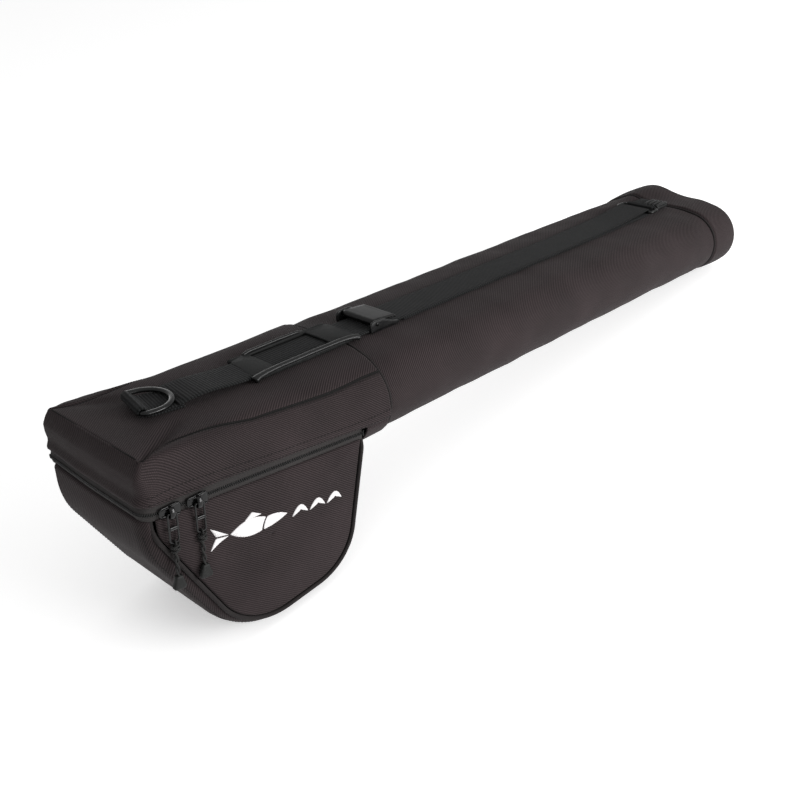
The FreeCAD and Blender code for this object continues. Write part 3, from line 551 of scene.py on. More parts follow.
def rounded_outline(points, radii, step=3.0, closed=True):
    """Straight runs through 2-D corner points with a tangent arc at each, as a dense line."""
    points = [np.array(p, float) for p in points]
    count = len(points)
    line = []
    for k, (point, radius) in enumerate(zip(points, radii)):
        if radius <= 0 or (not closed and k in (0, count - 1)):
            line.append(point)
            continue
        back = unit(points[k - 1] - point)
        ahead = unit(points[(k + 1) % count] - point)
        half = math.acos(float(np.clip(back @ ahead, -1, 1))) / 2
        centre = point + unit(back + ahead) * radius / math.sin(half)
        start = point + back * radius / math.tan(half)
        end = point + ahead * radius / math.tan(half)
        arms = [start - centre, end - centre]
        sweep_angle = math.acos(float(np.clip(unit(arms[0]) @ unit(arms[1]), -1, 1)))
        pieces = max(3, int(sweep_angle * radius / step) + 1)
        for t in np.linspace(0, 1, pieces + 1):
            share = [math.sin((1 - t) * sweep_angle), math.sin(t * sweep_angle)]
            line.append(centre + (arms[0] * share[0] + arms[1] * share[1]) / math.sin(sweep_angle))
    return np.array(line)


def run_of(line):
    """Running length at each point of a line."""
    return np.concatenate([[0.0], np.cumsum(np.linalg.norm(np.diff(line, axis=0), axis=1))])


def line_at(at, run, line):
    """Values of a line at these running lengths."""
    return np.stack([np.interp(at, run, line[:, k]) for k in range(line.shape[1])], -1)


def box_outline(near, right, far, left, radius, step=1.0):
    """A rectangle with rounded corners."""
    return rounded_outline([(near, right), (far, right), (far, left), (near, left)], [radius] * 4, step)


def resample(line, count=None, step=None, closed=False):
    """Evenly spaced points along a line."""
    line = np.asarray(line, float)
    if closed:
        line = np.concatenate([line, line[:1]])
    run = run_of(line)
    if count is None:
        count = max(2, int(round(run[-1] / step))) + (0 if closed else 1)
    return line_at(np.linspace(0, run[-1], count, endpoint=not closed), run, line)


stitches = {}


def sew(body, path, outward, pitch=3.4, length=2.5, width=0.42, sink=0.15):
    """Adds a row of stitches along a line on a body's cloth; make_stitches() turns them into one piece."""
    path = np.asarray(path, float)
    run = run_of(path)
    at = np.arange(pitch, run[-1] - pitch / 2, pitch)
    where = line_at(at, run, path)
    normal = unit(line_at(at, run, outward))
    along = unit(line_at(at + 0.5, run, path) - where)
    side = np.cross(normal, along)
    for p, t, n, s in zip(where, along, normal, side):
        stitches.setdefault(body, []).append((p - n * sink, t * length / 2, n * width, s * width))


def capsule_mesh(name, rows, material, body, slot, closed):
    """One mesh of small rounded rods, each given by its middle, half axis and two half widths."""
    stations = np.array([-1.0, -0.8, -0.3, 0.3, 0.8, 1.0])
    swell = np.array([0.05, 0.75, 1.0, 1.0, 0.75, 0.05])
    turn = np.linspace(0, 2 * np.pi, 6, endpoint=False)
    faces_one, corner_rows, corner_cols = grid_faces(6, 6, wrap_cols=True)
    loops_one = np.stack([corner_rows * 0.5, corner_cols * 0.3], -1).reshape(-1, 2)
    points = []
    faces = []
    for k, (p, t, n, s) in enumerate(rows):
        ring = np.cos(turn)[:, None] * s + np.sin(turn)[:, None] * n
        points.append((p + stations[:, None, None] * t + swell[:, None, None] * ring[None]).reshape(-1, 3))
        faces.append(faces_one + 36 * k)
    return add_object(name, np.concatenate(points), np.concatenate(faces), np.tile(loops_one, (len(rows), 1)),
                      material, body, slot, closed)


def make_stitches():
    for body, rows in stitches.items():
        capsule_mesh("stitching_" + body, rows, STITCH, body, "thread", False)


# ---- shared shapes of the case

ZIP_DROP = 43.5
LEFT_CORNER = 2.0                    # the near left corner is tighter than the near right one
ZIP_SLOPE_TURN = math.radians(2.75)
ZIP_SLOPE = math.tan(ZIP_SLOPE_TURN)
SIDE_FLARE = math.tan(math.radians(3.3))
NEAR_HALF_WIDTH = 64.5
THROAT_X = 207.4
THROAT_SEAM_X = 227.8
TUBE_START_X = 229.4
FAR_SEAM_X = 755.0
CASE_END_X = 800.0
AXIS_DROP = 36.0                     # the tube's axis lies this far below the flat top


def zip_height(x):
    return -ZIP_DROP - x * ZIP_SLOPE


def half_width(x):
    return NEAR_HALF_WIDTH + x * SIDE_FLARE


def oval_line(grow, half_y=80.0, half_z=AXIS_DROP, side_radius=33.0, drop=AXIS_DROP, count=720):
    """Dense closed oval in the (y, z) plane, from the top middle down the right side and round."""
    half_y, half_z, side_radius = half_y + grow, half_z + grow, side_radius + grow
    reach = half_y - side_radius
    flat_radius = (reach ** 2 + half_z ** 2 - side_radius ** 2) / (2 * (half_z - side_radius))
    lean = math.atan2(reach, flat_radius - half_z)
    top = np.linspace(0, lean, 120)
    right = np.linspace(lean, math.pi - lean, 240)[1:]
    y = np.concatenate([flat_radius * np.sin(top), reach + side_radius * np.sin(right)])
    z = np.concatenate([half_z - flat_radius + flat_radius * np.cos(top), side_radius * np.cos(right)])
    bottom = np.linspace(math.pi - lean, math.pi, 120)[1:]
    y = np.concatenate([y, flat_radius * np.sin(bottom)])
    z = np.concatenate([z, flat_radius - half_z + flat_radius * np.cos(bottom)])
    half = np.stack([-y, z - drop], -1)
    other = half[::-1][1:-1] * [-1, 1]
    return resample(np.concatenate([half, other]), count=count, closed=True)


def upper_share(z):
    """0 low on the tube, 1 on its upper side."""
    return eased((z + 30.0) / 26.0)


def far_saddle(x, y):
    """How far the padded far end rises: a high lobe on the left, a low one on the right."""
    grow = eased((x - 680.0) / 118.0)
    left = 34.0 - 5.0 * eased((x - 745.0) / 50.0)
    spread = 13.0 + 12.0 * eased((x - 745.0) / 50.0)
    return grow * (9.0 * np.exp(-((y - left) / spread) ** 2) + 1.5 * np.exp(-((y + 36.0) / 15.0) ** 2) - 1.0)


# ---- tube and far end


def make_tube():
    stations = TUBE_START_X + edge_spaced(FAR_SEAM_X - TUBE_START_X, 5.0) * (FAR_SEAM_X - TUBE_START_X)
    points = carried(stations, oval_line(0.0, count=150))
    upper = upper_share(points[..., 2])
    points[..., 2] += upper * far_saddle(points[..., 0], points[..., 1])
    pressed = eased((points[..., 0] - 250.0) / 80.0) * eased((690.0 - points[..., 0]) / 80.0)
    points[..., 2] -= upper * pressed * 1.1 * np.exp(-(points[..., 1] / 30.0) ** 2)
    points[..., 0] += seam_shift(points) * eased((320.0 - points[..., 0]) / 90.0)
    cloth_piece("tube_skin", "tube_cover", points, (490, 0, -36), ROW_ENDS, 0.55, 3, wrap_cols=True)


def welt(name, x, ring, radius, node, lift=None):
    path = carried([x], ring)[0]
    if lift is not None:
        path[:, 2] += upper_share(path[:, 2]) * lift(path[:, 0], path[:, 1])
    else:
        path[:, 0] += seam_shift(path)
    made = add_grid(name, sweep(path, circle(radius), True), PIPING, "case", "piping_cloth", True, True,
                    flip=True)
    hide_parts(node)


def make_far_end():
    band_start = FAR_SEAM_X + 1.6
    stations = band_start + edge_spaced(CASE_END_X - 1.5 - band_start, 4.0) * (CASE_END_X - 1.5 - band_start)
    points = carried(stations, oval_line(0.0, 81.5, 38.0, 35.0, AXIS_DROP, 150))
    share = (stations - band_start) / (CASE_END_X - band_start)
    bulge = 1.0 + 0.012 * np.sin(np.pi * share)
    points[..., 1] *= bulge[:, None]
    points[..., 2] = (points[..., 2] + AXIS_DROP) * bulge[:, None] - AXIS_DROP
    points[..., 2] += upper_share(points[..., 2]) * far_saddle(points[..., 0], points[..., 1])
    _, shaped, _ = cloth_piece("far_band_cloth", "far_band", points, (778, 0, -36), ROW_ENDS, 0.4, 11,
                               wrap_cols=True)
    rim = shaped[-1]
    middle = np.array([CASE_END_X - 0.6, 0.0, -35.0])
    rings = []
    for s in (1.0, 0.985, 0.96, 0.92, 0.84, 0.72, 0.58, 0.44, 0.3, 0.16, 0.06, 0.002):
        row = middle + (rim - middle) * s
        row[:, 0] = CASE_END_X - 2.2 + 2.0 * (1 - s ** 4) + 0.9 * np.clip((1 - s) / 0.05, 0, 1)
        rings.append(row)
    panel = np.array(rings)
    cloth_piece("far_end_panel", "far_panel", panel, (760, 0, -36), (), 0.25, 14, material=NYLON_NEAR,
                wrap_cols=True, uv=panel[..., 1:])
    welt("far_seam_piping", FAR_SEAM_X + 0.6, oval_line(-0.3, count=150), 1.1, "far_welt", far_saddle)


# ---- head

SEAM_LINE = ((0.0, 61.0), (8.0, 57.6), (18.5, 53.6), (31.0, 51.3), (44.0, 52.4), (70.0, 57.0), (100.0, 63.0),
             (135.0, 66.0), (170.0, 68.5), (226.5, 70.0))


def seam_y(x):
    """Half distance between the two top seams."""
    return np.interp(x, [p[0] for p in SEAM_LINE], [p[1] for p in SEAM_LINE])


NEAR_TOP_X = 1.6
TOP_CORNER = 3.0
# radius of the near-black cords tucked under the top seams, which paint shade into the grooves
SEAM_SHADE_CORD = 2.8
NEAR_FACE = ((-44, -4.8), (-38, -5.8), (-34, -6.0), (-28, -3.8), (-20, -5.0), (-12, -5.2), (-6, -2.6),
             (0, 1.4))                # the near end's (z, x) profile


def head_profile(x, count=240):
    """Half section of the head at x, from the top middle over the shoulder to the foot above the zipper."""
    share = min(x / THROAT_X, 1.0)
    top = 1.6 * float(eased((x - THROAT_START_X) / 77.0))
    radius = 1.2 + 6.5 * float(eased(x / 60.0)) + 14.0 * float(eased((x - 30.0) / 70.0))
    radius += 14.3 * float(eased((x - 80.0) / 127.0))
    shoulder = 61.5 + 21.5 * share
    flat = shoulder - radius
    low = float(zip_height(min(x, THROAT_X))) + 5.6
    foot = half_width(min(x, THROAT_X)) + 0.3 + 4.4 * share ** 2
    y = np.linspace(0, flat, 60)
    line = [np.stack([y, top * (1 - (y / max(flat, 1.0)) ** 2)], -1)]
    turn = np.linspace(0, math.pi / 2, 50)[1:]
    line.append(np.stack([flat + radius * np.sin(turn), -radius + radius * np.cos(turn)], -1))
    start = np.array([shoulder, -radius])
    end = np.array([foot, low])
    control = np.array([shoulder + 2.0 + 1.5 * (1 - share), (start[1] + end[1]) / 2 - 2.0])
    t = np.linspace(0, 1, 60)[1:, None]
    line.append((1 - t) ** 2 * start + 2 * t * (1 - t) * control + t ** 2 * end)
    return resample(np.concatenate(line), count=count)


SEAM_SHIFT = 8.5
THROAT_START_X = 130.0               # from here on the head grows towards the tube


def towards_throat(x):
    return eased((x - THROAT_START_X) / 97.0)


def seam_shift(points):
    """The sewn ring round the throat sits further along on the top left than on the right."""
    height = eased((points[..., 2] + 40.0) / 30.0)
    return SEAM_SHIFT * eased((points[..., 1] + 74.0) / 60.0) * height


CREASE_DEPTH = {-1: 3.8, 1: 1.5}


def crease(points):
    """A soft valley from the near right and left corners towards the D-ring."""
    depth = np.zeros(points.shape[:-1])
    for side in (-1, 1):
        start = np.array([4.0, side * 60.0])
        end = np.array([66.0, side * 22.0])
        along = end - start
        offset = points[..., :2] - start
        t = np.clip(offset @ along / (along @ along), 0, 1)
        away = np.linalg.norm(offset - t[..., None] * along, axis=-1)
        run = np.sin(np.pi * np.clip(t * 0.9 + 0.08, 0, 1)) ** 0.7
        depth += CREASE_DEPTH[side] * np.exp(-(away / 5.0) ** 2) * run
    return depth


def make_head():
    reach = THROAT_SEAM_X - 0.4 - NEAR_TOP_X
    xs = NEAR_TOP_X + edge_spaced(reach, 5.0) * reach
    profiles = [head_profile(max(x, 0.0)) for x in xs]
    runs = [run_of(p) for p in profiles]
    splits = [np.interp(seam_y(x), p[:, 0], r) if seam_y(x) < p[:, 0].max() else r[-1] * 0.3
              for x, p, r in zip(xs, profiles, runs)]

    # top panel between the seams
    across = edge_spaced(62.0, 4.0) * 2 - 1
    top = np.zeros((len(xs), len(across), 3))
    for k, (x, p, r, split) in enumerate(zip(xs, profiles, runs, splits)):
        at = np.abs(across) * split
        top[k, :, 0] = x
        top[k, :, 1] = np.sign(across) * np.interp(at, r, p[:, 0])
        top[k, :, 2] = np.interp(at, r, p[:, 1])
    near_side = np.clip(NEAR_TOP_X + TOP_CORNER - top[..., 0], 0.0, TOP_CORNER)
    top[..., 1] *= 1 - (TOP_CORNER - np.sqrt(TOP_CORNER ** 2 - near_side ** 2)) / 61.0
    top[..., 2] = np.minimum(top[..., 2], 0.6 + 2.6 * eased((np.abs(top[..., 1]) - 25.0) / 8.0))
    top[..., 0] += seam_shift(top) * towards_throat(top[..., 0])
    quiet = eased((np.abs(top[..., 1]) - 20.0) / 12.0)
    top[..., 2] -= crease(top) * quiet
    top[..., 2] -= 0.6 * eased((30.0 - top[..., 0]) / 30.0) * (1 - (top[..., 1] / 62.0) ** 2)
    _, shaped, outward = cloth_piece("head_top_panel", "head_shell", top, (100, 0, -60), ROW_ENDS + COL_ENDS,
                                     0.35, 21, 1.6, NYLON_NEAR, uv=top[..., :2])

    # Near-black cords along the top panel's edges, and thicker ones tucked just under its side seams, are
    # painted seam shade that darkens the grooves.
    edges = [shaped[1], shaped[:, 1], shaped[:, -2]]
    grids = [(sweep(resample(edge, step=2.0) - [0, 0, 0.25], circle(0.75, 8)), False) for edge in edges]
    for col in (1, -2):
        tucked = shaped[:, col] - outward[:, col] * SEAM_SHADE_CORD * 1.1
        grids.append((sweep(resample(tucked, step=3.0), circle(SEAM_SHADE_CORD, 12)), False))
    join_grids("head_top_seam_shade_cords", grids, STITCH, "case", "thread")

    # side and near-end band, one cloth that turns both near corners
    heights = edge_spaced(52.0, 3.2)
    columns = []
    for x, p, r, split in list(zip(xs, profiles, runs, splits))[::-1]:
        at = r[-1] + (split - r[-1]) * heights
        y = np.interp(at, r, p[:, 0])
        z = np.interp(at, r, p[:, 1])
        columns.append((x, y, z))
    near_y, near_z = columns[-1][1], columns[-1][2]
    face_x = np.interp(near_z, *zip(*NEAR_FACE))
    radius = TOP_CORNER + (ZIP_CORNER - TOP_CORNER) * eased((-near_z - 2.0) / 36.0)
    side_cols = [np.stack([np.full_like(y, x), y, z], -1) for x, y, z in columns if x >= 12.0]

    def turned(radius):
        cols = []
        for bend in np.radians(np.linspace(0.0, 90.0, 9)):
            x = face_x + radius * (1 - math.sin(bend))
            y = near_y + x * SIDE_FLARE * 0.6 - radius * (1 - math.cos(bend))
            cols.append(np.stack([x, y, near_z], -1))
        return cols

    left_cols = np.array(side_cols + turned(np.minimum(radius, LEFT_CORNER)))[::-1] * [1, -1, 1]
    side_cols = np.array(side_cols + turned(radius))
    share = np.linspace(0.02, 0.98, 31)[:, None]
    near_cols = [side_cols[-1] * (1 - t) + left_cols[0] * t for t in share[:, :, None]]
    band = np.concatenate([side_cols, np.array(near_cols).reshape(31, -1, 3), left_cols]) * [1, -1, 1]
    band[..., 0] += seam_shift(band) * towards_throat(band[..., 0])
    _, shaped, outward = cloth_piece("head_side_band", "near_panel", band, (100, 0, -40), ROW_ENDS + COL_ENDS,
                                     0.5, 33, 1.8, NYLON_NEAR)
    rows_of_stitches = []
    for row in (3.2, 8.2):
        pick = int(np.argmin(np.abs(heights * 40.0 - row)))
        rows_of_stitches.append((pick, 3.4, 2.5, 0.42))
    rows_of_stitches.append((len(heights) - 5, 2.6, 1.9, 0.35))
    half = len(side_cols) - 4
    for pick, pitch, length, width in rows_of_stitches:
        for part in (slice(None, half), slice(-half, None)):
            sew("case", shaped[part, pick], outward[part, pick], pitch, length, width)


# ---- pouch

TILT = math.atan2(-case_x.z, case_x.x)
FLARE = math.atan(SIDE_FLARE)
ZIP_NEAR_X = -5.5
ZIP_CORNER = 12.0
ZIP_END_X = 199.0
PANEL_MIDDLE = (98.0, -102.0)
GUSSET_CORNER = 14.0
NEAR_EDGE_LEAN = math.radians(28.5)
CROWN_LEAN = math.radians(31.0)
FAR_EDGE_LEAN = math.radians(12.0)


def crossing(first, second):
    (p, d), (q, e) = first, second
    reach = ((q[0] - p[0]) * e[1] - (q[1] - p[1]) * e[0]) / (d[0] * e[1] - d[1] * e[0])
    return p + d * reach


def steep(lean, way):
    """The direction of an edge this far from upright, up or down."""
    return np.array([math.sin(lean), way * math.cos(lean)])


def pouch_line(grow, top_drop, crowned=False):
    """The D's sewn edge in the (x, z) plane, from its near top corner round the bottom to the far top."""
    far_grow = min(grow, 6.0)
    near_out = np.array([-math.cos(NEAR_EDGE_LEAN), -math.sin(NEAR_EDGE_LEAN)])
    bottom_out = np.array([math.sin(TILT), -math.cos(TILT)])
    far_out = np.array([math.cos(FAR_EDGE_LEAN), -math.sin(FAR_EDGE_LEAN)])
    near = (np.array([4.9, -65.4]) + near_out * grow, steep(NEAR_EDGE_LEAN, -1))
    if crowned:
        near = (np.array([ZIP_NEAR_X, -79.0]), steep(CROWN_LEAN, -1))
    bottom = (np.array([CASE_END_X, -74.5]) + bottom_out * (grow - 12.0),
              np.array([math.cos(TILT), math.sin(TILT)]))
    far = (np.array([193.0, -81.5]) + far_out * far_grow, steep(FAR_EDGE_LEAN, 1))
    top = (np.array([0.0, -ZIP_DROP - top_drop]), np.array([1.0, -ZIP_SLOPE]))
    front = (np.array([ZIP_NEAR_X if crowned else 4.2 - grow, 0.0]), np.array([0.0, -1.0]))
    corners = [crossing(front, top), crossing(front, near), crossing(near, bottom), crossing(bottom, far),
               crossing(far, top)]
    radii = [0.0, 66.0 if crowned else 24.0, 56.0 + 1.6 * grow, 48.0 + far_grow, 0.0]
    return rounded_outline(corners, radii, closed=False)


def corner_pull(x, z, side=-1):
    """How far the cloth turns inward at the near corners, fading below the zipper."""
    across = np.clip(ZIP_NEAR_X + ZIP_CORNER - x, 0.0, ZIP_CORNER - 0.3)
    pull = (ZIP_CORNER - np.sqrt(ZIP_CORNER ** 2 - across ** 2)) * eased((z + 84.0) / 34.0)
    return pull * np.where(side < 0, 1.0, 0.3)


def on_side(x, z, side, out):
    """Panel coordinates and a height off the flared side, as case-frame points."""
    y = NEAR_HALF_WIDTH + x * math.sin(FLARE) + out * math.cos(FLARE) - corner_pull(x, z, side)
    return np.stack([x * math.cos(FLARE) - out * math.sin(FLARE), side * y, z], -1)


PANEL_EDGE = pouch_line(0.0, 4.9)
PANEL_EDGE = resample(PANEL_EDGE, count=200, closed=True)
edge_turn = np.unwrap(np.arctan2(PANEL_EDGE[:, 1] - PANEL_MIDDLE[1], PANEL_EDGE[:, 0] - PANEL_MIDDLE[0]))
edge_reach = np.hypot(PANEL_EDGE[:, 0] - PANEL_MIDDLE[0], PANEL_EDGE[:, 1] - PANEL_MIDDLE[1])


def panel_bulge(x, z, side):
    """Height of the padded D panel above its sewn edge."""
    turn = np.arctan2(z - PANEL_MIDDLE[1], x - PANEL_MIDDLE[0])
    order = np.argsort(edge_turn)
    reach = np.interp(turn, edge_turn[order], edge_reach[order], period=2 * math.pi)
    share = np.clip(np.hypot(x - PANEL_MIDDLE[0], z - PANEL_MIDDLE[1]) / reach, 0, 1)
    spot = np.stack([x, np.full_like(x, side * 64.0), z], -1)
    fold = np.exp(-(((x - 52.0) * 0.78 + (z + 92.0) * 0.62) / 9.0) ** 2) * np.exp(-((z + 88.0) / 34.0) ** 2)
    return 4.6 * (1 - share ** 3.2) + (0.9 * ripple(spot, 55.0, 70 + side) - 2.0 * fold) * (1 - share ** 4)


def make_pouch_panels():
    inward = np.concatenate([[0.0, 0.5, 1.1, 1.8, 2.7, 4.0], np.linspace(6, 100, 24)]) / 100.0
    for side, name in ((-1, "right"), (1, "left")):
        share = 1 - inward[:, None] * 0.995
        x = PANEL_MIDDLE[0] + (PANEL_EDGE[None, :, 0] - PANEL_MIDDLE[0]) * share
        z = PANEL_MIDDLE[1] + (PANEL_EDGE[None, :, 1] - PANEL_MIDDLE[1]) * share
        points = on_side(x, z, side, panel_bulge(x, z, side) - 0.6)
        cloth_piece("pouch_panel_%s_cloth" % name, "pouch_panel_" + name, points, (95, 0, -100), ROW_ENDS[:1],
                    0.0, 41, 2.2, body="pouch", wrap_cols=True, uv=np.stack([x, z], -1))
        edge = resample(pouch_line(2.0, 4.4), step=3.0)
        path = on_side(edge[:, 0], edge[:, 1], side, -1.1 - 3.5 * eased((edge[:, 1] + 68.0) / 12.0))
        cord = add_grid("pouch_piping_" + name, sweep(path, circle(1.8)), PIPING, "pouch", "piping_cloth",
                        wrap_cols=True, caps=True, flip=True)
        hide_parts("piping_" + name)


def make_gusset():
    count = 130
    edge = resample(pouch_line(1.6, 5.0), count=count)
    crown = resample(pouch_line(12.0, 5.0, True), count=count)
    across = edge_spaced(124.0, 4.0) * 2 - 1
    points = np.zeros((count, len(across), 3))
    for k in range(count):
        reach = NEAR_HALF_WIDTH + edge[k, 0] * SIDE_FLARE - 2.6 - corner_pull(edge[k, 0], edge[k, 1], across)
        corner = np.where(across < 0, GUSSET_CORNER, 0.35 * GUSSET_CORNER)
        turned = np.clip(np.abs(across) * reach - (reach - corner), 0.0, corner) / corner
        spot = edge[k] + (crown[k] - edge[k]) * np.sqrt(1 - turned ** 2)[:, None]
        points[k, :, 0] = spot[:, 0]
        points[k, :, 1] = across * reach
        points[k, :, 2] = spot[:, 1]
    _, shaped, outward = cloth_piece("pouch_gusset_cloth", "pouch_gusset", points, (95, 0, -95),
                                     ROW_ENDS[:1] + COL_ENDS, 0.0, 51, 2.4, NYLON_NEAR, "pouch")
    for col in (6, len(across) - 7):
        sew("pouch", shaped[4:-8, col], outward[4:-8, col])


def make_hinge_cloth():
    spine = resample([(225.5, -76.2), (216.0, -76.8), (208.0, -78.0), (201.5, -81.0), (199.0, -86.0),
                      (197.6, -92.0)], count=16)
    across = np.linspace(-1.0, 1.0, 31)
    half = np.interp(spine[:, 0], [197.0, 203.0, 226.0], [60.0, 54.0, 40.0])
    points = np.zeros((16, 31, 3))
    points[..., 0] = spine[:, None, 0]
    points[..., 1] = across[None, :] * half[:, None]
    lift = np.interp(np.abs(points[..., 1]), [0.0, 20.0, 40.0, 60.0], [0.0, 0.3, 1.6, 5.0])
    points[..., 2] = spine[:, None, 1] + lift * eased((spine[:, None, 0] - 199.0) / 10.0)
    made, _, _ = cloth_piece("hinge_cloth", None, points, (190, 0, -40), ROW_ENDS[:1] + COL_ENDS, 0.3, 61,
                             1.6, body=None)
    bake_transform(made)
    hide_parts("hinge_strip")


def make_throat():
    """The lower half of the throat, from the zipper's end on one side round to the other."""
    stations = 201.0 + edge_spaced(THROAT_SEAM_X - 201.4, 4.0) * (THROAT_SEAM_X - 201.4)
    ring = oval_line(3.0, count=300)
    lower = ring[ring[:, 1] < -46.0]
    order = np.argsort(lower[:, 0])
    lower = resample(lower[order], count=70)
    cloth_piece("throat_cloth", "throat_ring", carried(stations, lower), (215, 0, -36),
                ROW_ENDS[1:] + COL_ENDS, 0.3, 64, 1.6)
    welt("throat_seam_piping", THROAT_SEAM_X + 0.7, oval_line(0.7, count=150), 1.3, "throat_welt")


# ---- zipper


def zip_path(inset):
    corners = []
    near = ZIP_NEAR_X + inset
    for side, x in ((-1, ZIP_END_X), (-1, near), (1, near), (1, ZIP_END_X)):
        corners.append((x, side * (half_width(x) - inset)))
    return rounded_outline(corners, [0, ZIP_CORNER - inset, LEFT_CORNER, 0], closed=False)


def make_zipper():
    base = resample(zip_path(0.6), step=2.5)
    ahead = unit(np.gradient(base, axis=0))
    outward = np.stack([-ahead[:, 1], ahead[:, 0]], -1)
    if np.sum(outward[10] * base[10]) < 0:
        outward = -outward
    coils = []
    for sign, body, name in ((1, "case", "upper"), (-1, "pouch", "lower")):
        heights = np.array([0.35, 0.9, 2.0, 3.2, 4.4, 5.4, 6.4])
        inset = np.array([0.1, 0.0, 0.25, 0.6, 0.9, 1.2, 2.0])
        points = np.zeros((len(base), len(heights), 3))
        points[..., :2] = base[:, None, :] - outward[:, None, :] * inset[None, :, None]
        points[..., 2] = zip_height(base[:, None, 0]) + sign * heights[None, :]
        cloth_piece("zip_tape_%s_cloth" % name, "zip_tape_" + name, points, (100, 0, -50), (), 0.0, 71, 0.7,
                    TAPE, body, "zip_tape")
        teeth = resample(zip_path(0.35), step=1.7)
        if sign < 0:
            teeth = (teeth[1:] + teeth[:-1]) / 2
        rows = []
        for spot in teeth:
            middle = np.array([spot[0], spot[1], zip_height(spot[0]) + sign * 0.75])
            lean = unit(np.array([spot[0] - 100.0 if spot[0] < 8 else 0.0, spot[1], 0.0]))
            upright = np.array([0.0, 0.0, 0.85])
            rows.append((middle, upright, lean * 0.55, np.cross(unit(upright), lean) * 0.55))
        coils.append((name, rows, body))
    for name, rows, body in coils:
        coil = capsule_mesh("zip_teeth_" + name, rows, COIL, body, "zip_coil", True)
        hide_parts("zip_coil_" + name)


# ---- moulded plates


def pillow(name, outline, low, high, edge, place, material, body, slot, dome=0.0, flip=False):
    """A plate over a convex outline, rims rounded by edge; place turns (a, b, height) into case points."""
    outline = np.asarray(outline, float)
    middle = outline.mean(0)
    away = outline - middle
    reach = np.linalg.norm(away, axis=1, keepdims=True)
    rings = [(0.9, low), (0.5, low), (None, low), (None, low), (None, low), (None, high), (None, high),
             (None, high), (0.5, high), (0.9, high)]
    insets = [None, None, edge, 0.3 * edge, 0.0, 0.0, 0.3 * edge, edge, None, None]
    drops = [0.0, 0.0, 0.0, 0.3 * edge, edge, -edge, -0.3 * edge, 0.0, dome * 0.8, dome]
    grid = []
    for (share, height), inset, drop in zip(rings, insets, drops):
        if share is None:
            line = middle + away * (1 - inset / reach)
        else:
            line = middle + away * (1 - share)
        grid.append(at_height(line, height + drop))
    points = place(np.array(grid))
    return add_grid(name, points, material, body, slot, wrap_cols=True, caps=True, flip=flip)


def flat_place(origin=(0, 0, 0), yaw=0.0):
    c, s = math.cos(yaw), math.sin(yaw)
    turn = np.array([[c, -s, 0], [s, c, 0], [0, 0, 1]])
    return lambda p: p @ turn.T + np.array(origin, float)


def standing_place(y):
    """Outline in (x, z), thickness along Y from y."""
    return lambda p: np.stack([p[..., 0], y + p[..., 2], p[..., 1]], -1)


def framed(name, outer, inner, low, high, edge, place, material, body, slot):
    """A plate with a window: a closed ring section carried from the outer outline to the inner one."""
    outer = resample(outer, count=160, closed=True)
    inner = resample(inner, count=160, closed=True)
    across = unit(inner - outer)
    section = [(0, 0, edge), (0, 0, 1 - edge), (0, 0.3, 1 - 0.3 * edge), (0, 1, 1), (1, -1, 1),
               (1, -0.3, 1 - 0.3 * edge), (1, 0, 1 - edge), (1, 0, edge), (1, -1, 0), (0, 1, 0)]
    grid = []
    for which, shift, level in section:
        base = inner if which else outer
        line = base + across * shift * edge * (high - low)
        grid.append(at_height(line, low + (high - low) * level))
    return add_grid(name, place(np.array(grid)), material, body, slot, wrap_rows=True, wrap_cols=True)



# ---- sliders and pulls

SLIDERS = (("front", 15.5), ("rear", 38.5))
PULL_Y = -4.2
TAB_BAR_Z = -26.0
CORD_DIAMETER = 0.0016


def slider_turn(x):
    lean = Matrix.Rotation(-FLARE, 3, "Z") @ Matrix.Rotation(ZIP_SLOPE_TURN, 3, "Y")
    at = Vector((x, -half_width(x), zip_height(x)))
    return np.array(lean), np.array(at)


def cord_route():
    """The route of a pull's cord: up one twisted leg, over the tab's end bar and down the other leg."""
    legs = []
    for phase in (-math.pi / 2, math.pi / 2):
        leg = []
        for k in range(7):
            turn = phase + k * math.pi / 2
            leg.append((1.5 * math.cos(turn), PULL_Y + 1.5 * math.sin(turn), -29.0 - 4.25 * k))
        legs.append(leg)
    over = [(0.0, PULL_Y - 1.75, -24.25), (0.0, PULL_Y + 1.75, -24.25)]
    return legs[0][::-1] + over + legs[1]


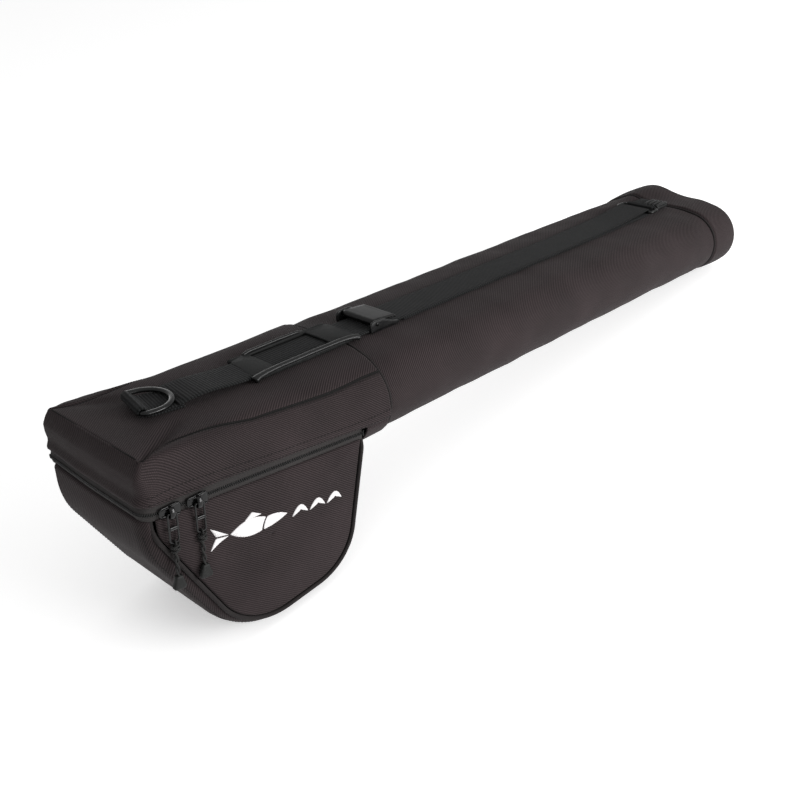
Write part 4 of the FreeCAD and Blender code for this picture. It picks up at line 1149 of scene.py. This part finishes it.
def make_pull(name, x):
    turn, at = slider_turn(x)
    pull_body = "pull_" + name

    def place(points):
        return np.asarray(points, float) @ turn.T + at

    def standing(points):
        return place(np.stack([points[..., 0], points[..., 2], points[..., 1]], -1))

    # slider: shield plates, post and the arched bridge
    shield = rounded_outline([(-9, -3.7), (9, -5.6), (9, 5.6), (-9, 3.7)], [2.4, 3.0, 3.0, 2.4], 0.8)
    finish = (ENAMEL, "slider_" + name, "zip_metal")
    front = pillow("slider_plate_" + name, shield, -2.4, -0.6, 0.7, standing, *finish)
    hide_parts("slider_" + name)
    pillow("slider_back_" + name, shield, 4.3, 5.6, 0.5, standing, *finish)
    flange = box_outline(-4, -0.8, 4, 0.8, 0.3, 0.5)
    pillow("slider_post_" + name, flange, -0.7, 4.4, 0.2, standing, *finish)
    arch = [(0, -2.0, 3.6), (0, -4.6, 2.9), (0, -6.2, 0.4), (0, -6.3, -2.4), (0, -5.2, -4.8), (0, -2.0, -5.2)]
    bridge = rod(arch, 2.1, 24, 16, 0.42, side=(1, 0, 0), place=place)
    rims = []
    for sign in (1, -1):
        rim = [(-7.2, -2.5, sign * 2.6), (-2, -3.2, sign * 3.3), (3.5, -3.1, sign * 4.2),
               (7.6, -2.5, sign * 4.6)]
        rims.append(rod(rim, 0.55, 16, 10, place=place))
    join_grids("slider_bridge_" + name, [bridge] + rims, *finish, flip=True)

    # tab: a long loop of flattened bar with a crossbar
    loop = rounded_outline([(-3.65, -1.4), (3.65, -1.4), (3.65, TAB_BAR_Z), (-3.65, TAB_BAR_Z)],
                           [1.3, 1.3, 3.2, 3.2], 0.8)
    grids = [rod(upright(loop, PULL_Y), 0.85, 110, closed=True, place=place)]
    for z, radius in ((-13.2, 0.95), (-14.9, 0.7)):
        grids.append(rod([(-3.6, PULL_Y, z), (3.6, PULL_Y, z)], radius, 8, place=place))
    tab = join_grids("pull_tab_loop_" + name, grids, ENAMEL, pull_body, "zip_metal", flip=True)
    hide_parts("pull_tab_" + name)

    # cord, its knot and the moulded end
    route = [on_row(place(p)) for p in cord_route()]
    data = bpy.data.curves.new("pull_cord_line_" + name, "CURVE")
    data.dimensions = "3D"
    spline = data.splines.new("NURBS")
    spline.points.add(len(route) - 1)
    for point, spot in zip(spline.points, route):
        point.co = (*spot, 1.0)
    spline.order_u = 3
    spline.use_endpoint_u = True
    data.resolution_u = 10
    data.bevel_depth = CORD_DIAMETER / 2
    data.bevel_resolution = 3
    data.use_fill_caps = True
    data.materials.append(CORD_SHEATH)
    cord = bpy.data.objects.new("pull_cord_line_" + name, data)
    bpy.context.scene.collection.objects.link(cord)
    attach(cord, pull_body)
    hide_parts("pull_cord_" + name)
    rings = []
    for z, tip, reach in ((-28.2, 0.9, 2.5), (-30.4, -0.8, 2.65), (-32.4, 0.6, 2.4)):
        t = np.linspace(0, 2 * np.pi, 40, endpoint=False)
        ring = np.stack([reach * 1.15 * np.cos(t), PULL_Y + reach * np.sin(t), z + tip * np.cos(t)], -1)
        rings.append((place(sweep(ring, circle(0.85, 10), True)), True))
    knot = join_grids("pull_knot_" + name, rings, CORD_SHEATH, pull_body, "pull_cord", flip=True)
    top, low = -54.3, -66.0
    corners = [(-2.7, top), (2.7, top), (4.0, top - 5.0), (6.5, low), (-6.5, low), (-4.0, top - 5.0)]
    flare = rounded_outline(corners, [1.2, 1.2, 9.0, 2.4, 2.4, 9.0], 0.7)
    end = pillow("pull_end_mould_" + name, flare, PULL_Y - 2.4, PULL_Y + 2.4, 1.3, standing, END_RUBBER,
                 pull_body, "pull_rubber")
    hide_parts("pull_end_" + name)
    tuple(route[0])


# ---- emblem


EMBLEM_AT = (44.0, -84.0)
EMBLEM_SLOPE = math.radians(5.8)
RAISED = ((1.0, -0.5), (1.0, 0.25), (0.93, 0.6), (0.75, 0.85), (0.45, 0.98), (0.12, 1.02))


def make_emblem():
    """A plain leaping fish and three waves in raised satin stitch."""
    def on_panel(points):
        a, b, h = points[..., 0], points[..., 1], points[..., 2]
        x = EMBLEM_AT[0] + a * math.cos(EMBLEM_SLOPE) + b * math.sin(EMBLEM_SLOPE)
        z = EMBLEM_AT[1] - a * math.sin(EMBLEM_SLOPE) + b * math.cos(EMBLEM_SLOPE)
        return on_side(x, z, -1, panel_bulge(x, z, -1) - 0.6 + h)

    def bow(start, end, rise, count=14):
        t = np.linspace(0, 1, count)[:, None]
        start, end = np.array(start, float), np.array(end, float)
        side = np.array([-(end - start)[1], (end - start)[0]]) / np.linalg.norm(end - start)
        return start + (end - start) * t + side * rise * 4 * t * (1 - t)

    body = [bow((17, 0), (50, 4.5), 5.2), bow((50, 4.5), (46, -6.0), -0.8), bow((46, -6.0), (17, 0), 3.6)]
    head = [bow((51.5, 4.4), (71, 0.5), 1.6), bow((71, 0.5), (47.6, -5.9), 1.2),
            bow((47.6, -5.9), (51.5, 4.4), 0.9)]
    shapes = [np.concatenate(body),
              np.concatenate(head),
              np.array([(15.5, 0.6), (0, 10), (5.2, 1.0)]),
              np.array([(15.5, -0.6), (5.2, -0.6), (0, -10)]),
              np.array([(30, 7.2), (37, 12.6), (46, 8.6)])]
    for k in range(3):
        left = 76 + 18 * k
        right = left + 16.5
        wave = [bow((left, -5), (right, -5), 8.5, 20), bow((right, -5), (left, -5), -5.2, 20)]
        shapes.append(np.concatenate(wave))
    parts = []
    for shape in shapes:
        line = resample(np.array(shape, float), step=1.2, closed=True)
        middle = line.mean(0)
        flat = np.array([at_height(middle + (line - middle) * share, height) for share, height in RAISED])
        points, faces, loops = grid_part(on_panel(flat), wrap_cols=True, uv=flat[..., :2])
        faces.append(list(range(len(points) - len(line), len(points))))
        loops += flat[-1, :, :2].tolist()
        parts.append((points, faces, loops))
    made = add_parts("emblem_embroidery", parts, THREAD, "pouch", "thread")
    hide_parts("emblem")


# ---- straps and hardware

WEB_WIDTH = 38.0
WEB_THICK = 1.8
FAR_BAR = (708.0, 4.0)
LEVER_PIVOT = (272.0, 7.4)
D_RING_AT = (43.0, 9.0, 6.4)
D_RING_YAW = math.radians(-12.0)


def make_strap():
    bar_x, bar_z = FAR_BAR
    start = [(70.5, 3.2, 5.0), (78, 2.0, 6.2), (90, 0.6, 7.0), (98, 0.0, 6.6), (112, -0.8, 5.2),
             (130, -1.4, 3.7)]
    xs = np.arange(152.0, bar_x - 4, 8.0)
    sag = np.interp(xs, [150, 230, 300, 340, 600, 650, bar_x], [2.7, 2.3, 2.2, 1.7, 1.8, 2.7, bar_z + 2.5])
    sway = np.interp(xs, [150, 320, 560, 690], [-1.8, -2.4, -2.4, 0.0])
    upper = list(zip(xs, sway, sag + 0.15 * np.sin(xs / 23.0)))
    turn = [(bar_x + 2.6 * math.sin(t), 0.0, bar_z + 2.6 * math.cos(t)) for t in np.linspace(0, math.pi, 9)]
    lower = [(x, -1.5, 0.1 + 1.1 * float(eased((x - 620.0) / 60.0)))
             for x in np.arange(bar_x - 8, 304.0, -8.0)]
    path = resample(start + upper + turn + lower, step=1.3)
    grid = sweep(path, ribbon(WEB_WIDTH, WEB_THICK), side=(0, 1, 0))
    made = add_grid("strap_webbing", grid, WEBBING, "case", "webbing", wrap_cols=True, caps=True)
    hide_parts("carry_strap", "strap_anchor")
    for x in (73.5, 76.5):
        line = np.array([(x + 0.06 * y, y + 2.6, 6.8) for y in np.linspace(16.5, -16.5, 12)])
        sew("case", line, np.tile([0.0, 0.0, 1.0], (12, 1)), 2.6, 2.0, 0.36)


def webbing_loop(name, origin, yaw, profile, width, node):
    """A strap end wrapped on a bar: profile is its (x, z) line about the bar."""
    line = resample(profile, step=0.8)
    grid = sweep(upright(line), ribbon(width, WEB_THICK), side=(0, 1, 0))
    made = add_grid(name, flat_place(origin, yaw)(grid), WEBBING, "case", "webbing", wrap_cols=True,
                    caps=True)
    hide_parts(node)


def arc_line(radius, start, end, count=16):
    turn = np.linspace(math.radians(start), math.radians(end), count)
    return [(radius * math.cos(t), radius * math.sin(t)) for t in turn]


def make_d_ring():
    corners = [(0, 21), (0, -21), (29, -21), (29, 21)]
    line = resample(rounded_outline(corners, [2.6, 2.6, 20.99, 20.99], 0.8), count=150, closed=True)
    path = flat_place(D_RING_AT, D_RING_YAW)(at_height(line, 0.0))
    section = circle(2.15, 16) * [0.92, 1.22]
    ring = add_grid("d_ring_forged", sweep(path, section, True, side=(0, 0, 1)), RING_METAL, "d_ring",
                    "ring_metal", True, True)
    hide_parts("d_ring")


def make_rings():
    profile = [(34.0, -5.0), (9.0, -5.0)] + arc_line(3.25, 285, 40, 26)
    profile += [(5.4, -1.6), (9.5, -3.1), (33.0, -3.1)]
    webbing_loop("d_ring_webbing", D_RING_AT, D_RING_YAW, profile, 36.0, "d_ring_chape")
    profile = [(28.0, -2.5), (4.0, -2.6)] + arc_line(2.65, 270, 40, 22) + [(4.6, -0.6), (6.8, -0.7)]
    webbing_loop("far_ring_webbing", (722.0, 0.0, 4.0), 0.0, profile, 35.0, "far_chape")
    base = box_outline(726.4, -20, 748, 1, 2.0)
    keeper = pillow("far_keeper_base", base, 2.6, 5.1, 0.8, flat_place(), GLOSS_PLASTIC, "case",
                    "hardware_plastic")
    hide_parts("far_keeper")
    ribs = []
    for k in range(4):
        y = -17.4 + 5.2 * k
        rib = [(727.4, y, 5.0), (729, y, 5.9), (738, y, 6.2), (745.5, y, 5.9), (747.2, y, 5.0)]
        ribs.append(rod(rib, 1.75, 20))
    join_grids("far_keeper_ribs", ribs, GLOSS_PLASTIC, "case", "hardware_plastic", flip=True)
    tail = box_outline(727, 3.0, 750, 17.6, 1.5)
    pillow("far_strap_tail", tail, 2.6, 4.6, 0.6, flat_place(), WEBBING, "case", "webbing")


def make_grip():
    outer = rounded_outline([(136, -24), (250, -24), (250, 20), (238, 23), (152, 23), (141, 19)],
                            [7.0, 5.0, 4.0, 8.0, 8.0, 4.0], 1.5)
    inner = box_outline(160, -17.5, 222, 18, 2.0, 1.5)

    def saddle(points):
        bend = ((points[..., 0] - 194.0) / 56.0) ** 4
        shaped = points.copy()
        shaped[..., 2] -= 1.3 * bend + 0.8 * (points[..., 1] / 24.0) ** 2
        return shaped

    body = framed("grip_frame", outer, inner, 3.2, 5.8, 0.3, saddle, MATTE_RUBBER, "grip", "grip_rubber")
    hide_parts("grip")
    walls = []
    for side in (1, -1):
        wall = [(142, side * 21.6, 2.9), (194, side * 21.9, 2.8), (246, side * 21.6, 2.9)]
        walls.append(rod(wall, 2.0, 30, 14, 1.1, side=(0, 1, 0)))
    join_grids("grip_side_walls", walls, MATTE_RUBBER, "grip", "grip_rubber", flip=True)
    near = [(133.8, -23.6, 3.4), (138, -23.2, 4.7), (147, -22.6, 5.6), (160, -22.2, 6.0), (194, -22.0, 6.1),
            (229, -22.2, 5.9), (239.5, -22.6, 5.2), (245, -22.8, 4.2), (248.2, -23.0, 2.9)]
    flare = 1.0 + 0.5 * np.abs(np.linspace(-1, 1, 90)) ** 6
    far = [(157, 21.4, 4.6), (163, 21.4, 5.9), (194, 21.4, 6.2), (216, 21.4, 5.9), (222, 21.4, 4.6)]
    rails = [rod(near, 2.7, 90, 16, 0.72, side=(0, 1, 0), swell=flare), rod(far, 1.6, 50, 14, side=(0, 1, 0))]
    made = join_grids("grip_rail_mouldings", rails, GLOSS_PLASTIC, "grip", "grip_rail", flip=True)
    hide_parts("grip_rails")


def make_buckle():
    x, z = LEVER_PIVOT
    ear = rounded_outline([(x - 8, 0.1), (x + 27, 0.1), (x + 27, 2.8), (x + 7, 10.5), (x - 8, 10.5)],
                          [1.5, 1.0, 1.3, 5.0, 4.4], 0.8)
    for name, y in (("right", -23.0), ("left", 21.0)):
        plate = pillow("buckle_ear_" + name, ear, 0.0, 2.0, 0.6, standing_place(y), BUCKLE_METAL, "case",
                       "buckle_metal", flip=True)
        if name == "right":
            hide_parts("buckle_frame")
    deck = box_outline(x - 7, -22, x + 23, 22, 1.5)
    pillow("buckle_deck", deck, 0.1, 1.7, 0.5, flat_place(), BUCKLE_METAL, "case", "buckle_metal")
    heads = []
    for y in (-23.6, 23.0):
        heads.append(rod([(x, y, z), (x, y + 0.6, z)], 1.9, 5, 16))
    join_grids("buckle_rivets", heads, BUCKLE_METAL, "case", "buckle_metal", flip=True)
    profile = arc_line(2.3, 235, 85, 20)
    profile += [(7, 1.8), (15, 1.0), (21, 0.3), (24, 0.1), (25.6, -0.7), (25.4, -1.8)]
    line = resample([(x + a, z + b) for a, b in profile], step=0.7)
    grid = sweep(upright(line), ribbon(40.4, 1.7), side=(0, 1, 0))
    lever = add_grid("buckle_cam_lever", grid, BUCKLE_METAL,
                     "buckle_lever", "buckle_metal", wrap_cols=True, caps=True)
    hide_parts("buckle_lever")


# ---- inside


def make_inside():
    corners = [(40, -62), (78, -150), (150, -148), (176, -86), (176, -62)]
    board = rounded_outline(corners, [6, 18, 22, 10, 6], 2.0)
    divider = pillow("reel_divider_pad", board, -3.0, 3.0, 1.8, standing_place(0.0), LINING, "pouch",
                     "lining_board")
    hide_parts("reel_divider")
    roof = box_outline(8, -48, 196, 48, 9, 3.0)
    pad = pillow("head_roof_pad", roof, -8.4, -4.6, 1.6, flat_place(), LINING, "case", "foam")
    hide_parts("head_pad")


CAD_FINISH = {
    "far_ring": RING_METAL, "buckle_pin": BUCKLE_METAL, "zip_end_stops": ENAMEL,
    "rod_tube_left": TUBE_PLASTIC, "rod_tube_right": TUBE_PLASTIC, "foam_core": FOAM, "far_pad": FOAM,
}


def finish_cad_nodes():
    for node, material in CAD_FINISH.items():
        mesh = frame["nodes"][node].data
        mesh.materials.clear()
        mesh.materials.append(material)


make_tube()
make_far_end()
make_head()
make_throat()
make_pouch_panels()
make_gusset()
make_hinge_cloth()
make_zipper()
for slider_name, slider_x in SLIDERS:
    make_pull(slider_name, slider_x)
make_emblem()
make_strap()
make_d_ring()
make_rings()
make_grip()
make_buckle()
make_inside()
make_stitches()
finish_cad_nodes()

bpy.ops.mesh.primitive_plane_add(size=14.0, location=(0.0, 0.0, 0.0))
floor = bpy.context.active_object
floor.name = "floor"
paper = Shader("studio_paper", roughness=0.9)
paper.colour((PAPER_TONE, PAPER_TONE, PAPER_TONE))
paper.surface.inputs["Emission Color"].default_value = (1.0, 1.0, 1.0, 1.0)
paper.surface.inputs["Emission Strength"].default_value = PAPER_GLOW
floor.data.materials.append(paper.material)
